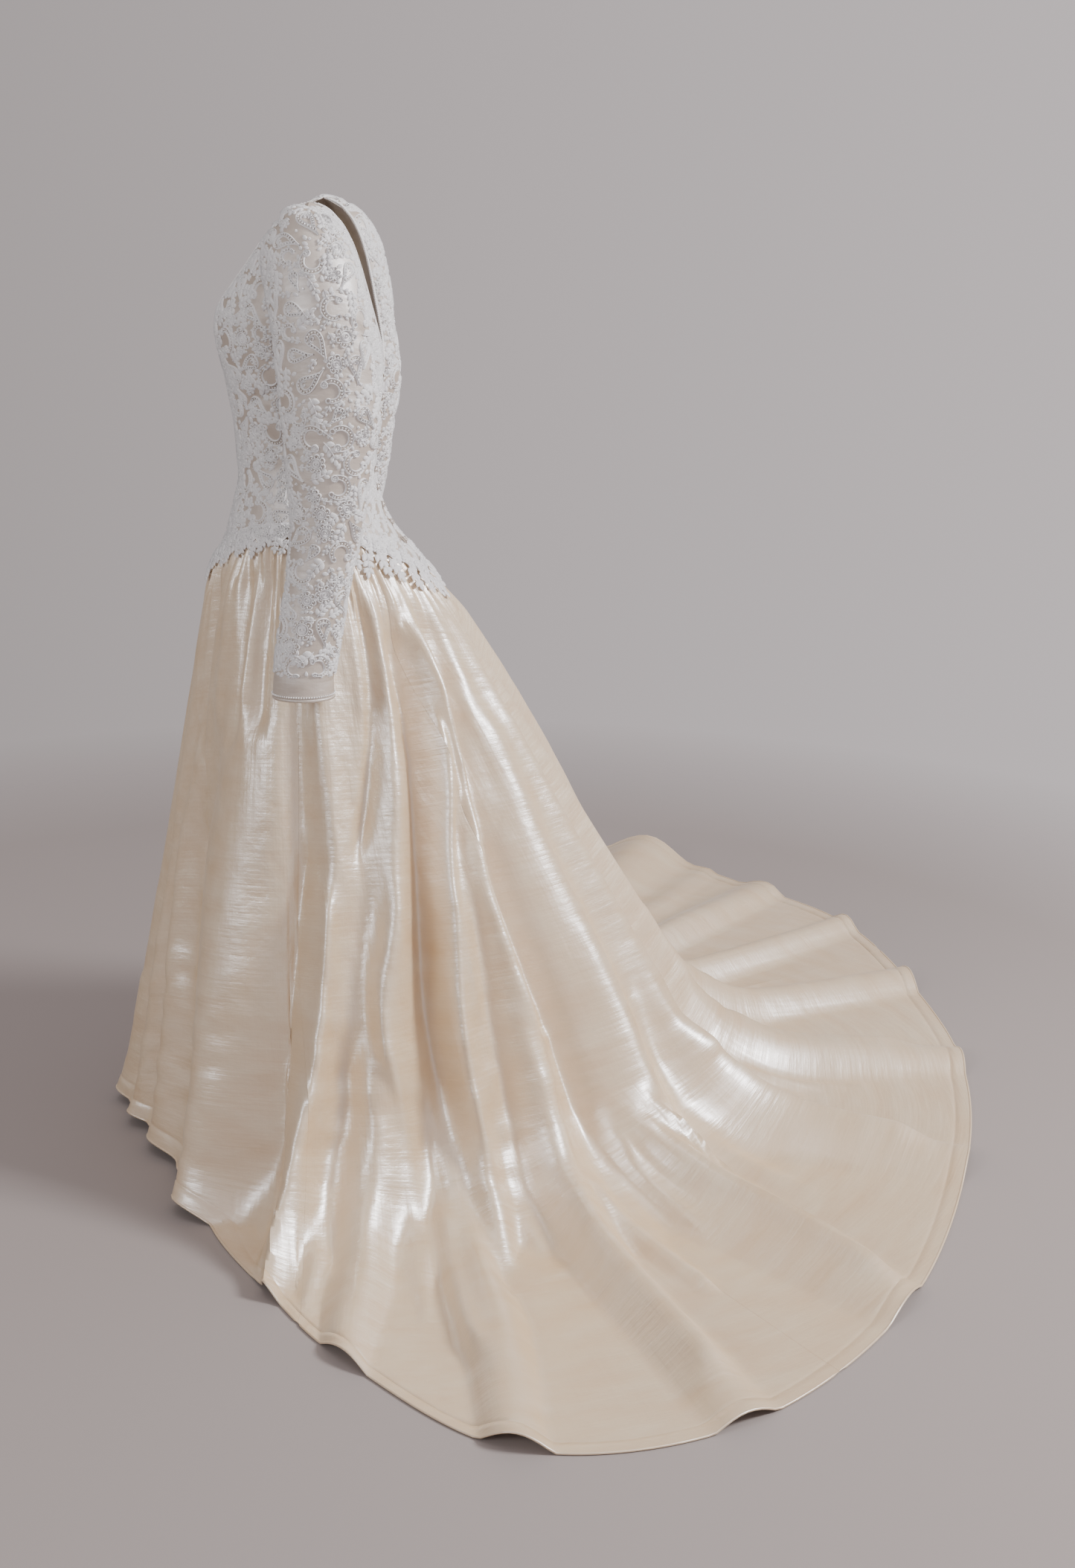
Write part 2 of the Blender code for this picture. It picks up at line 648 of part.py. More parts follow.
def skirt_surface(place, level):
    """Outer surface of the skirt with its folds and gathers."""
    place, level = np.broadcast_arrays(
        np.asarray(place, dtype=float), np.asarray(level, dtype=float)
    )
    point, s, share = skirt_ridge_surface(place, level)
    fold = leaned(place, level)
    t = fold - np.floor(fold)
    valley = column(FOLDS, 7)[np.floor(fold).astype(int) % FOLD_COUNT]
    crowding = (leaned(place + 0.25, level) - leaned(place - 0.25, level)) / 0.5
    valley = valley * np.clip(1 / crowding, 0, 1)
    along = skirt_ridge_surface(place + 0.02, level)[0]
    along = along - skirt_ridge_surface(place - 0.02, level)[0]
    low, high = np.maximum(level - 0.01, 0), np.minimum(level + 0.01, 1)
    down = skirt_ridge_surface(place, high)[0] - skirt_ridge_surface(place, low)[0]
    out = unit(np.cross(down, along))
    wave = np.sin(math.pi * t) ** 2
    laid = 1 - np.abs(np.cos(math.pi * t)) ** 2.6
    laid = laid - 0.42 * np.exp(-(((t - 0.5) / 0.13) ** 2))
    flat = smoothstep((share - 0.92) / 0.2)
    wave = wave + (laid - wave) * flat
    depth = valley * np.clip(share, 0, 1) * wave
    height = point[..., 2] + SHOULDER_HEIGHT
    room = (height - SKIRT_CLOTH - 0.0008) / np.maximum(out[..., 2], 0.25)
    depth = np.minimum(depth, np.maximum(room, 0.0) * np.clip(wave, 0, 1))
    gather = 0.5 - 0.5 * np.cos(2 * math.pi * GATHERS_PER_FOLD * place)
    near_seam = np.exp(-((s / 0.085) ** 2)) * (0.75 + 10 * np.clip(s, 0, 0.03))
    depth = depth + GATHER_DEPTH * gather * near_seam
    return point - out * depth[..., None], out


def skirt_normal(place, level):
    """Outward direction of the folded skirt."""
    along = skirt_surface(place + 0.02, level)[0]
    along = along - skirt_surface(place - 0.02, level)[0]
    low, high = np.maximum(level - 0.006, 0), np.minimum(level + 0.006, 1)
    down = skirt_surface(place, high)[0] - skirt_surface(place, low)[0]
    return unit(np.cross(down, along))


def make_skirt(satin):
    """Four panels of the gathered skirt and its train."""
    for name, start, end in SKIRT_PANELS:
        outer, inner = [], []
        for k, level in enumerate(SKIRT_LEVELS):
            per_fold = FINE_COLUMNS if k <= GATHERED_LEVELS else COARSE_COLUMNS
            place = np.linspace(start, end, int((end - start) * per_fold) + 1)
            point, _ = skirt_surface(place, np.full_like(place, level))
            normal = skirt_normal(place, level)
            if k == 0:
                bearing = fold_values(place)[0]
                normal = torso_normal(bearing, seam_height(bearing))
                normal = unit(normal * np.array([1.0, 1.0, 0.0]))
            ends = np.array([start, end], dtype=float)
            ahead = skirt_surface(ends + 0.02, np.full(2, level))[0]
            behind = skirt_surface(ends - 0.02, np.full(2, level))[0]
            aside = unit(ahead - behind) * SEAM_GAP * 0.6
            point[0] += aside[0]
            point[-1] -= aside[1]
            outer.append(point)
            inner.append(point - normal * SKIRT_CLOTH)
        make_cloth(name, outer, inner, satin)


def make_basque_lace(lace_satin):
    """Leaf-edged lace lying over the basque seam."""
    count = FOLD_COUNT * 4
    place = np.arange(count) * FOLD_COUNT / count
    bearing = fold_values(place)[0]
    seam = seam_height(bearing)
    leaf = np.abs(np.cos(math.pi * np.arange(count) / 4))
    outer, inner = [], []
    for rise in (0.012,):
        point = torso(bearing, seam + rise)
        normal = unit(torso_normal(bearing, seam + rise) * np.array([1, 1, 0]))
        inner.append(point + normal * 0.0013)
        outer.append(point + normal * (0.0013 + TRIM_CLOTH))
    for level in (0.004, 0.016 + 0.016 * leaf):
        level = level + 0 * place
        point = skirt_ridge_surface(place, level)[0]
        normal = torso_normal(bearing, seam)
        inner.append(point + normal * 0.0012)
        outer.append(point + normal * (0.0012 + TRIM_CLOTH))
    make_cloth("basque_lace", outer, inner, lace_satin, wrap=True)


def make_buttons(pearl):
    """Small covered buttons over the centre back opening."""
    backs = bmesh.new()
    for word in ("left", "right"):
        backs.from_mesh(bpy.data.objects[f"bodice_back_{word}"].data)
    back = BVHTree.FromBMesh(backs)
    backs.free()
    bm = bmesh.new()
    bmesh.ops.create_uvsphere(bm, u_segments=8, v_segments=4, radius=BUTTON_RADIUS)
    bmesh.ops.scale(bm, vec=(1.0, 1.0, 0.55), verts=bm.verts[:])
    first = finish_object("button_01", bm, pearl)
    heights = np.linspace(1.185, 0.945, BUTTON_COUNT)
    for number, height in enumerate(heights, start=1):
        button = first
        if number > 1:
            button = bpy.data.objects.new(f"button_{number:02d}", first.data)
            bpy.context.collection.objects.link(button)
        point = Vector(torso(180.0, height))
        normal = Vector(torso_normal(180.0, height))
        button.rotation_euler[0] = -math.acos(normal.z)
        turned = button.rotation_euler.to_matrix()
        rests = []
        for vert in first.data.vertices:
            for aside in (-2 * SEAM_GAP, 2 * SEAM_GAP):
                start = point + normal * 0.02 + turned @ vert.co
                start.x += aside
                hit = back.ray_cast(start, -normal)
                rests += [hit[3]] if hit[0] is not None else []
        button.location = point + normal * (0.02 - min(rests) + SEAM_GAP)


def main():
    """Build the dress in an empty scene."""
    for obj in list(bpy.data.objects):
        bpy.data.objects.remove(obj)
    satin = make_material("satin", SATIN)
    lace_satin = make_material("lace_over_satin", LACE_SATIN)
    make_bodice(lace_satin)
    make_sleeves(lace_satin, make_material("cuff_satin", SATIN), make_material("piping", PIPING))
    make_neck_trims(lace_satin)
    make_basque_lace(lace_satin)
    make_skirt(satin)
    make_buttons(make_material("covered_button", PEARL))
    holder = bpy.data.objects.new("wearer_shoulders", None)
    bpy.context.collection.objects.link(holder)
    for obj in list(bpy.data.objects):
        if obj is not holder:
            obj.parent = holder


if __name__ == "__main__":
    main()
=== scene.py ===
"""How the wedding dress looks: satin, corded lace, beads and folds on its solids.

The front faces -Y, the wearer's left is +X, and the origin is level with the top
of the shoulders. Heights in the tables are measured above the floor.
"""

import logging
import math
from dataclasses import dataclass, field
from enum import Enum

import bmesh
import bpy
import numpy as np
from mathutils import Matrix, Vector


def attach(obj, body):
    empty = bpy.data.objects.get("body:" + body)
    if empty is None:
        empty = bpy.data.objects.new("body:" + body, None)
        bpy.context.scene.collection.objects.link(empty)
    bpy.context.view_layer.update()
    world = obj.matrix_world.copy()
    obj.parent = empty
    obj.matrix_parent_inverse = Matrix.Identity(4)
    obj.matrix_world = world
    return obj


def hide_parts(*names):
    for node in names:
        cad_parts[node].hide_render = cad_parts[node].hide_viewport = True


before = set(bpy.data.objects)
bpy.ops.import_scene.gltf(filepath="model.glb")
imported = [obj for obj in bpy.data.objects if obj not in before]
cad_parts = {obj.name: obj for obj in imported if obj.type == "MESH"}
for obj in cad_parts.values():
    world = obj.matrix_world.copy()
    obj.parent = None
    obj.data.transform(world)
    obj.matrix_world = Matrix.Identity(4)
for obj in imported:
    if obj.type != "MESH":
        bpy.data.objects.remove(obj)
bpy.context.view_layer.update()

Array = np.ndarray
Table = tuple[tuple[float, ...], ...]
log = logging.getLogger("dress")

SHOULDER_HEIGHT = 1.440
SEAM_GAP = 0.0003
CLOTH_SHARP = 65.0
FLIP = np.array([-1.0, 1.0, 1.0])
BUST_X, BUST_HEIGHT = 0.072, 1.262
BUST_RISE, BUST_SPREAD = 0.011, 0.040
SHOULDER_SLOPE = 0.017

# Body of the bodice: height, half width, front, back and middle y
TORSO: Table = (
    (0.880, 0.178, -0.158, 0.176, 0.010),
    (0.920, 0.170, -0.144, 0.160, 0.008),
    (0.956, 0.161, -0.124, 0.130, 0.004),
    (0.985, 0.153, -0.114, 0.112, 0.000),
    (1.015, 0.143, -0.107, 0.102, -0.002),
    (1.045, 0.135, -0.101, 0.097, -0.002),
    (1.073, 0.132, -0.100, 0.099, 0.000),
    (1.119, 0.135, -0.104, 0.106, 0.000),
    (1.165, 0.143, -0.109, 0.111, 0.000),
    (1.200, 0.150, -0.113, 0.113, 0.000),
    (1.233, 0.156, -0.117, 0.113, 0.000),
    (1.267, 0.161, -0.119, 0.109, 0.000),
    (1.295, 0.165, -0.113, 0.105, 0.002),
    (1.323, 0.168, -0.098, 0.101, 0.006),
    (1.356, 0.170, -0.076, 0.095, 0.012),
    (1.390, 0.170, -0.050, 0.084, 0.018),
    (1.415, 0.168, -0.024, 0.068, 0.022),
    (1.432, 0.165, 0.002, 0.046, 0.023),
    (1.440, 0.163, 0.0229, 0.0231, 0.023),
)
# Basque seam: bearing from centre front, height
SEAM: Table = (
    (0, 0.920),
    (8, 0.923),
    (18, 0.938),
    (38, 0.966),
    (65, 0.982),
    (92, 0.986),
    (120, 0.976),
    (145, 0.950),
    (163, 0.921),
    (172, 0.906),
    (180, 0.903),
)
# Upper edge of half a panel: share of its width, bearing, height
FRONT_EDGE: Table = (
    (0.00, 0, 1.262),
    (0.10, 9, 1.272),
    (0.20, 17, 1.300),
    (0.30, 24, 1.345),
    (0.38, 30, 1.395),
    (0.46, 36, 1.440),
    (0.58, 48, 1.440),
    (0.70, 59, 1.440),
    (0.745, 63, 1.412),
    (0.79, 66, 1.380),
    (0.88, 72, 1.325),
    (0.95, 79, 1.280),
    (1.00, 90, 1.264),
)
BACK_EDGE: Table = (
    (0.00, 90, 1.264),
    (0.05, 101, 1.280),
    (0.12, 108, 1.325),
    (0.21, 113, 1.376),
    (0.255, 117, 1.412),
    (0.30, 121, 1.440),
    (0.42, 132, 1.440),
    (0.54, 144, 1.440),
    (0.63, 150, 1.395),
    (0.73, 157, 1.340),
    (0.83, 165, 1.285),
    (0.92, 173, 1.238),
    (1.00, 180, 1.215),
)
# Left sleeve: inner x and height, outer x and height, front and back y
SLEEVE: Table = (
    (0.166, 1.272, 0.180, 1.434, -0.034, 0.072),
    (0.169, 1.274, 0.212, 1.434, -0.034, 0.088),
    (0.171, 1.272, 0.241, 1.416, -0.030, 0.100),
    (0.172, 1.267, 0.263, 1.384, -0.026, 0.105),
    (0.175, 1.256, 0.277, 1.342, -0.022, 0.110),
    (0.178, 1.237, 0.285, 1.291, -0.016, 0.113),
    (0.181, 1.205, 0.288, 1.235, -0.013, 0.116),
    (0.185, 1.165, 0.290, 1.180, -0.010, 0.123),
    (0.190, 1.120, 0.290, 1.130, -0.006, 0.117),
    (0.196, 1.070, 0.291, 1.078, -0.003, 0.108),
    (0.203, 1.020, 0.293, 1.026, 0.001, 0.100),
    (0.211, 0.970, 0.296, 0.974, -0.003, 0.088),
    (0.219, 0.920, 0.300, 0.923, -0.010, 0.077),
    (0.227, 0.870, 0.305, 0.872, -0.019, 0.068),
    (0.234, 0.820, 0.310, 0.822, -0.026, 0.058),
    (0.237, 0.800, 0.312, 0.802, -0.029, 0.055),
)
# Skirt folds, a row a ridge: waist bearing, foot x and y, hem x and y, foot and
# hem height, depth of the valley that follows
FOLDS: Table = (
    (-9, -0.060, -0.338, -0.064, -0.354, 0.060, 0.022, 0.028),
    (14, 0.036, -0.302, 0.038, -0.317, 0.060, 0.024, 0.030),
    (34, 0.128, -0.262, 0.134, -0.272, 0.060, 0.024, 0.044),
    (57, 0.318, -0.190, 0.336, -0.198, 0.060, 0.026, 0.090),
    (78, 0.450, -0.050, 0.555, -0.046, 0.050, 0.020, 0.036),
    (97, 0.430, 0.080, 0.735, 0.085, 0.045, 0.022, 0.060),
    (113, 0.415, 0.225, 0.935, 0.315, 0.048, 0.026, 0.070),
    (127, 0.370, 0.370, 0.880, 0.600, 0.045, 0.022, 0.060),
    (143, 0.265, 0.505, 0.600, 0.845, 0.055, 0.018, 0.070),
    (162, 0.052, 0.647, 0.180, 1.005, 0.055, 0.020, 0.068),
    (182, -0.190, 0.674, -0.205, 1.068, 0.055, 0.018, 0.065),
    (200, -0.370, 0.640, -0.570, 1.036, 0.050, 0.024, 0.065),
    (217, -0.480, 0.540, -0.870, 0.960, 0.050, 0.022, 0.062),
    (233, -0.535, 0.410, -1.060, 0.820, 0.050, 0.024, 0.050),
    (248, -0.535, 0.270, -1.280, 0.580, 0.048, 0.050, 0.050),
    (263, -0.495, 0.120, -1.270, 0.240, 0.048, 0.028, 0.058),
    (279, -0.445, -0.030, -0.720, 0.020, 0.048, 0.022, 0.050),
    (299, -0.360, -0.180, -0.378, -0.190, 0.060, 0.026, 0.045),
    (326, -0.215, -0.290, -0.222, -0.302, 0.060, 0.024, 0.036),
)
# Ridges and valleys followed by their place at the hem, then their place at each
# level: the folds lean towards the back as they rise
FOLLOWED = (0, 2, 2.5, 3, 3.5, 4, 5, 5.5, 6, 7, 7.5, 8, 9, 10)
LEAN: Table = (
    (0.00, 0, 2.0, 2.6, 3.2, 4.0, 4.4, 6.6, 7.6, 7.9, 8.2, 8.4, 8.7, 9.2, 10),
    (0.20, 0, 1.9, 2.4, 3.1, 4.4, 5.0, 6.4, 7.1, 7.5, 7.8, 8.0, 8.5, 9.1, 10),
    (0.35, 0, 1.6, 2.2, 3.0, 4.5, 5.1, 5.9, 6.35, 6.8, 7.35, 7.8, 8.4, 9.0, 10),
    (0.50, 0, 1.35, 1.9, 2.9, 4.3, 4.9, 5.5, 6.05, 6.45, 7.3, 7.75, 8.4, 9.0, 10),
    (0.62, 0, 1.5, 2.0, 3.0, 4.15, 4.7, 5.3, 5.85, 6.3, 7.15, 7.65, 8.3, 9.0, 10),
    (0.78, 0, 1.8, 2.25, 3.0, 3.85, 4.35, 5.1, 5.6, 6.1, 7.0, 7.5, 8.1, 9.0, 10),
    (1.00, 0, 2.0, 2.5, 3.0, 3.6, 4.0, 5.0, 5.5, 6.0, 7.0, 7.5, 8.0, 9.0, 10),
)


def column(table: Table, index: int) -> Array:
    """Return one column of a table of rows."""
    return np.array([row[index] for row in table], dtype=float)


def through(xs: Array, ys: Array, x: Array) -> Array:
    """Read a smooth curve through points.

    Args:
        xs: places of the points, rising.
        ys: their values.
        x: places to read at.

    Returns:
        The curve's values at x, held at its ends.
    """
    x = np.clip(np.asarray(x, dtype=float), xs[0], xs[-1])
    slope = np.gradient(ys, xs)
    k = np.clip(np.searchsorted(xs, x, side="right") - 1, 0, len(xs) - 2)
    span = xs[k + 1] - xs[k]
    t = (x - xs[k]) / span
    a = (1 + 2 * t) * (1 - t) ** 2 * ys[k] + t * t * (3 - 2 * t) * ys[k + 1]
    b = t * (1 - t) ** 2 * slope[k] - t * t * (1 - t) * slope[k + 1]
    return a + b * span


def smoothstep(x: Array) -> Array:
    """Ease from 0 to 1 as x goes from 0 to 1."""
    x = np.clip(x, 0.0, 1.0)
    return x * x * (3 - 2 * x)


def unit(v: Array) -> Array:
    """Scale vectors in the last axis to length one."""
    return v / np.maximum(np.linalg.norm(v, axis=-1, keepdims=True), 1e-12)


def wander(u: Array, v: Array, seed: int) -> Array:
    """Smooth unevenness over a plane, the same on every run.

    Args:
        u: first coordinate, one bump a unit.
        v: second coordinate.
        seed: which pattern to use.

    Returns:
        Values from -1 to 1.
    """
    iu, iv = np.floor(u), np.floor(v)
    fu, fv = smoothstep(u - iu), smoothstep(v - iv)

    def corner(a: Array, b: Array) -> Array:
        """Return the value held by a lattice corner."""
        value = np.sin(a * 127.1 + b * 311.7 + seed * 74.7) * 43758.5453
        return 2 * (value - np.floor(value)) - 1

    low = corner(iu, iv) * (1 - fu) + corner(iu + 1, iv) * fu
    high = corner(iu, iv + 1) * (1 - fu) + corner(iu + 1, iv + 1) * fu
    return low * (1 - fv) + high * fv


class Side(Enum):
    """The wearer's two sides, and the way x runs there."""

    LEFT = 1
    RIGHT = -1

    @property
    def word(self) -> str:
        """Name of the side in the pieces' names."""
        return self.name.lower()


def mirror(points: Array, side: Side) -> Array:
    """Flip points made for the left side across the centre line for the right."""
    return points * np.array([side.value, 1.0, 1.0])


@dataclass
class MeshStore:
    """Gathers points and faces, then makes them one object."""

    points: list[Array] = field(default_factory=list)
    coords: list[Array] = field(default_factory=list)
    faces: dict[int, list[Array]] = field(default_factory=lambda: {3: [], 4: []})
    count: int = 0

    def add(self, points: Array, faces: Array, coords: Array | None = None) -> None:
        """Add points and faces of three or four corners.

        Args:
            points: n by 3 points.
            faces: rows of indices into those points.
            coords: n by 2 cloth coordinates in metres, or none.
        """
        flat = np.asarray(points, dtype=float).reshape(-1, 3)
        self.points.append(flat)
        self.coords.append(flat[:, :2] if coords is None else coords.reshape(-1, 2))
        self.faces[faces.shape[1]].append(faces + self.count)
        self.count += len(flat)

    def grid(self, points: Array, coords: Array, wrap: bool = False, flip: bool = False) -> None:
        """Add a grid of points as a sheet of quads.

        Args:
            points: rows by columns by 3.
            coords: rows by columns by 2, in metres.
            wrap: joins the last column to the first.
            flip: turns the faces over.
        """
        self.add(points, grid_faces(points.shape[0], points.shape[1], wrap, flip), coords)

    def rim(self, front: Array, back: Array, turned: bool) -> None:
        """Join two runs of points already added by a strip of quads."""
        strip = np.stack([front[:-1], back[:-1], back[1:], front[1:]], axis=-1)
        self.faces[4].append(strip[:, ::-1] if turned else strip)

    def build(self, name: str, material: bpy.types.Material, sharp: float = 180.0) -> bpy.types.Object:
        """Make the object.

        Args:
            name: the piece's name.
            material: its finish.
            sharp: edges that turn by more degrees than this stay sharp.

        Returns:
            The new object, smooth-shaded.
        """
        corners, starts, total = [], [], 0
        for size in (3, 4):
            for block in self.faces[size]:
                corners.append(block.ravel())
                starts.append(total + size * np.arange(len(block)))
                total += block.size
        loops = np.concatenate(corners).astype(np.int32)
        begin = np.concatenate(starts).astype(np.int32)
        mesh = bpy.data.meshes.new(name)
        mesh.vertices.add(self.count)
        mesh.vertices.foreach_set("co", np.concatenate(self.points).astype(np.float32).ravel())
        mesh.loops.add(len(loops))
        mesh.loops.foreach_set("vertex_index", loops)
        mesh.polygons.add(len(begin))
        mesh.polygons.foreach_set("loop_start", begin)
        mesh.update(calc_edges=True)
        layer = mesh.uv_layers.new(name="cloth")
        coords = np.concatenate(self.coords)
        layer.data.foreach_set("uv", coords[loops].astype(np.float32).ravel())
        mesh.shade_smooth()
        if sharp < 180:
            mesh.set_sharp_from_angle(angle=math.radians(sharp))
        mesh.materials.append(material)
        obj = bpy.data.objects.new(name, mesh)
        bpy.context.collection.objects.link(obj)
        return obj


def grid_faces(rows: int, columns: int, wrap: bool = False, flip: bool = False) -> Array:
    """Quads of a grid whose points are numbered row by row.

    Args:
        rows: number of rows.
        columns: points in a row.
        wrap: joins the last column to the first.
        flip: turns the faces over.

    Returns:
        Rows of four indices.
    """
    across = columns if wrap else columns - 1
    j = np.arange(across)
    k = (j + 1) % columns
    base = (np.arange(rows - 1) * columns)[:, None]
    quads = np.stack([base + j, base + k, base + columns + k, base + columns + j], axis=-1)
    quads = quads.reshape(-1, 4)
    return quads[:, ::-1] if flip else quads


def grid_normals(points: Array, wrap: bool = False) -> Array:
    """Normals of a grid: along its columns, crossed with along its rows."""
    if wrap:
        across = np.roll(points, -1, axis=1) - np.roll(points, 1, axis=1)
    else:
        across = np.gradient(points, axis=1)
    return unit(np.cross(across, np.gradient(points, axis=0)))


def add_wall(store: MeshStore, outer: Array, inner: Array, coords: Array, wrap: bool = False) -> None:
    """Add cloth as a thin wall of two faces joined by rims.

    Args:
        store: where it goes.
        outer: rows by columns by 3, the face that shows.
        inner: the same number of points behind it.
        coords: cloth coordinates in metres.
        wrap: the rows are closed rings.
    """
    flip = float(np.sum(grid_normals(outer, wrap) * (outer - inner))) < 0
    rows, columns = outer.shape[:2]
    start = store.count
    store.grid(outer, coords, wrap, flip)
    store.grid(inner, coords, wrap, not flip)
    front = start + np.arange(rows * columns).reshape(rows, columns)
    back = front + rows * columns
    rims = [(0, flip), (-1, not flip)]
    for row, turned in rims:
        a, b = front[row], back[row]
        if wrap:
            a, b = np.append(a, a[0]), np.append(b, b[0])
        store.rim(a, b, turned)
    if not wrap:
        store.rim(front[:, 0], back[:, 0], not flip)
        store.rim(front[:, -1], back[:, -1], flip)


def from_front(bearing: Array) -> Array:
    """Degrees from centre front, 0 to 180, on either side."""
    return np.abs((np.asarray(bearing, dtype=float) + 180) % 360 - 180)


def seam_height(bearing: Array) -> Array:
    """Height of the basque seam at a bearing in degrees from centre front."""
    return through(column(SEAM, 0), column(SEAM, 1), from_front(bearing))


def torso(bearing: Array, height: Array) -> Array:
    """Points of the bodice's outer surface at bearings and heights."""
    bearing, height = np.broadcast_arrays(
        np.asarray(bearing, dtype=float), np.asarray(height, dtype=float)
    )
    heights = column(TORSO, 0)
    half, front, back, middle = (through(heights, column(TORSO, k), height) for k in range(1, 5))
    angle = np.radians(bearing)
    x = half * np.sin(angle)
    forward = np.cos(angle)
    reach = np.where(forward > 0, front - middle, back - middle)
    y = middle + reach * np.abs(forward)
    away = (np.abs(x) - BUST_X) ** 2 + (height - BUST_HEIGHT) ** 2
    y = y - BUST_RISE * np.exp(-away / (2 * BUST_SPREAD**2)) * np.clip(forward, 0, 1)
    slope = np.clip((np.abs(x) - 0.085) / 0.06, 0, 1.2) ** 2
    z = height - SHOULDER_SLOPE * slope * smoothstep((height - 1.30) / 0.13)
    return np.stack([x, y, z - SHOULDER_HEIGHT], axis=-1)


def torso_normal(bearing: Array, height: Array) -> Array:
    """Outward directions of the bodice's surface."""
    turn = torso(bearing + 0.4, height) - torso(bearing - 0.4, height)
    low = np.maximum(height - 0.0015, TORSO[0][0])
    high = np.minimum(height + 0.0015, TORSO[-1][0])
    return unit(np.cross(turn, torso(bearing, high) - torso(bearing, low)))


def edge_at(edge: Table, share: Array) -> tuple[Array, Array]:
    """Bearing and height of a panel's upper edge, smooth but for its two corners."""
    cuts = (0, 5, 7, len(edge) - 1)
    bearing, height = np.zeros_like(share), np.zeros_like(share)
    for low, high in zip(cuts, cuts[1:]):
        rows = edge[low : high + 1]
        inside = (share >= rows[0][0]) & (share <= rows[-1][0])
        bearing[inside] = through(column(rows, 0), column(rows, 1), share[inside])
        height[inside] = through(column(rows, 0), column(rows, 2), share[inside])
    return bearing, height


def panel_point(edge: Table, share: Array, rise: Array) -> tuple[Array, Array]:
    """Bearing and height in a bodice panel at a share of its width and rise."""
    start, end = edge[0][1], edge[-1][1]
    ordered = np.arange(len(edge)) / (len(edge) - 1)
    foot = start + (end - start) * np.interp(share, column(edge, 0), ordered)
    top_bearing, top_height = edge_at(edge, share)
    outward = np.abs(top_bearing - 90) < np.abs(foot - 90)
    bearing = foot + (top_bearing - foot) * rise ** np.where(outward, 3.5, 1.2)
    base = seam_height(foot)
    return bearing, base + (top_height - base) * rise


def upper_edge(bearing: Array) -> Array:
    """Height of the bodice's upper edge at a bearing."""
    rows = FRONT_EDGE + BACK_EDGE[1:]
    return np.interp(from_front(bearing), column(rows, 1), column(rows, 2))


def fold_values(place: Array) -> list[Array]:
    """Ridge table read smoothly at places counted in ridges round the skirt."""
    k = np.floor(place).astype(int)
    t = place - k
    values = []
    for number in range(7):
        ring = column(FOLDS, number)
        four = []
        for shift in (-1, 0, 1, 2):
            value = ring[(k + shift) % len(FOLDS)]
            if number == 0:
                value = value + 360.0 * np.floor_divide(k + shift, len(FOLDS))
            four.append(value)
        a, b, c, d = four
        bend = 2 * a - 5 * b + 4 * c - d + t * (3 * (b - c) + d - a)
        values.append(b + 0.5 * t * (c - a + t * bend))
    return values


def leaned(place: Array, level: Array) -> Array:
    """Place at the hem of the fold that passes a place at a level."""
    rows = np.array([np.interp(place, row[1:], np.array(FOLLOWED)) for row in LEAN])
    inside = (place > FOLLOWED[0]) & (place < FOLLOWED[-1])
    levels = column(LEAN, 0)
    k = np.clip(np.searchsorted(levels, level, side="right") - 1, 0, len(LEAN) - 2)
    t = smoothstep((level - levels[k]) / (levels[k + 1] - levels[k]))
    low = np.take_along_axis(rows, k[None], axis=0)[0]
    high = np.take_along_axis(rows, k[None] + 1, axis=0)[0]
    return np.where(inside, low + (high - low) * t, place)


def ridge_surface(place: Array, level: Array) -> tuple[Array, Array, Array]:
    """Smooth surface over the skirt's ridges.

    Args:
        place: place round the skirt, in ridges.
        level: 0 at the seam to 1 at the hem.

    Returns:
        Points, the way down from the seam in metres, and that as a share of the drop.
    """
    bearing, foot_x, foot_y, hem_x, hem_y, foot_h, hem_h = fold_values(place)
    waist = torso(bearing, seam_height(bearing))
    waist[..., 2] -= SEAM_GAP + 0.0001
    foot = np.stack([foot_x, foot_y, foot_h - SHOULDER_HEIGHT], axis=-1)
    hem = np.stack([hem_x, hem_y, hem_h - SHOULDER_HEIGHT], axis=-1)
    drop = np.linalg.norm(foot - waist, axis=-1)[..., None]
    spread = np.linalg.norm(hem - foot, axis=-1)[..., None]
    s = level[..., None] * (drop + spread)
    corner = np.minimum(0.16, 0.9 * spread)
    first = waist + (foot - waist) * s / drop
    last = foot + (hem - foot) * (s - drop) / np.maximum(spread, 1e-6)
    bend = np.clip((s - drop + corner) / (2 * corner), 0, 1)
    enter = foot + (waist - foot) * corner / drop
    leave = foot + (hem - foot) * corner / np.maximum(spread, 1e-6)
    curve = (1 - bend) ** 2 * enter + 2 * bend * (1 - bend) * foot + bend**2 * leave
    point = np.where(s < drop - corner, first, np.where(s > drop + corner, last, curve))
    share = s / drop
    angle = np.radians(bearing)[..., None]
    out = np.concatenate([np.sin(angle), -np.cos(angle), 0 * angle], axis=-1)
    point = point + out * 0.010 * (share / 0.1) * np.exp(1 - share / 0.1)
    return point, s[..., 0], share[..., 0]


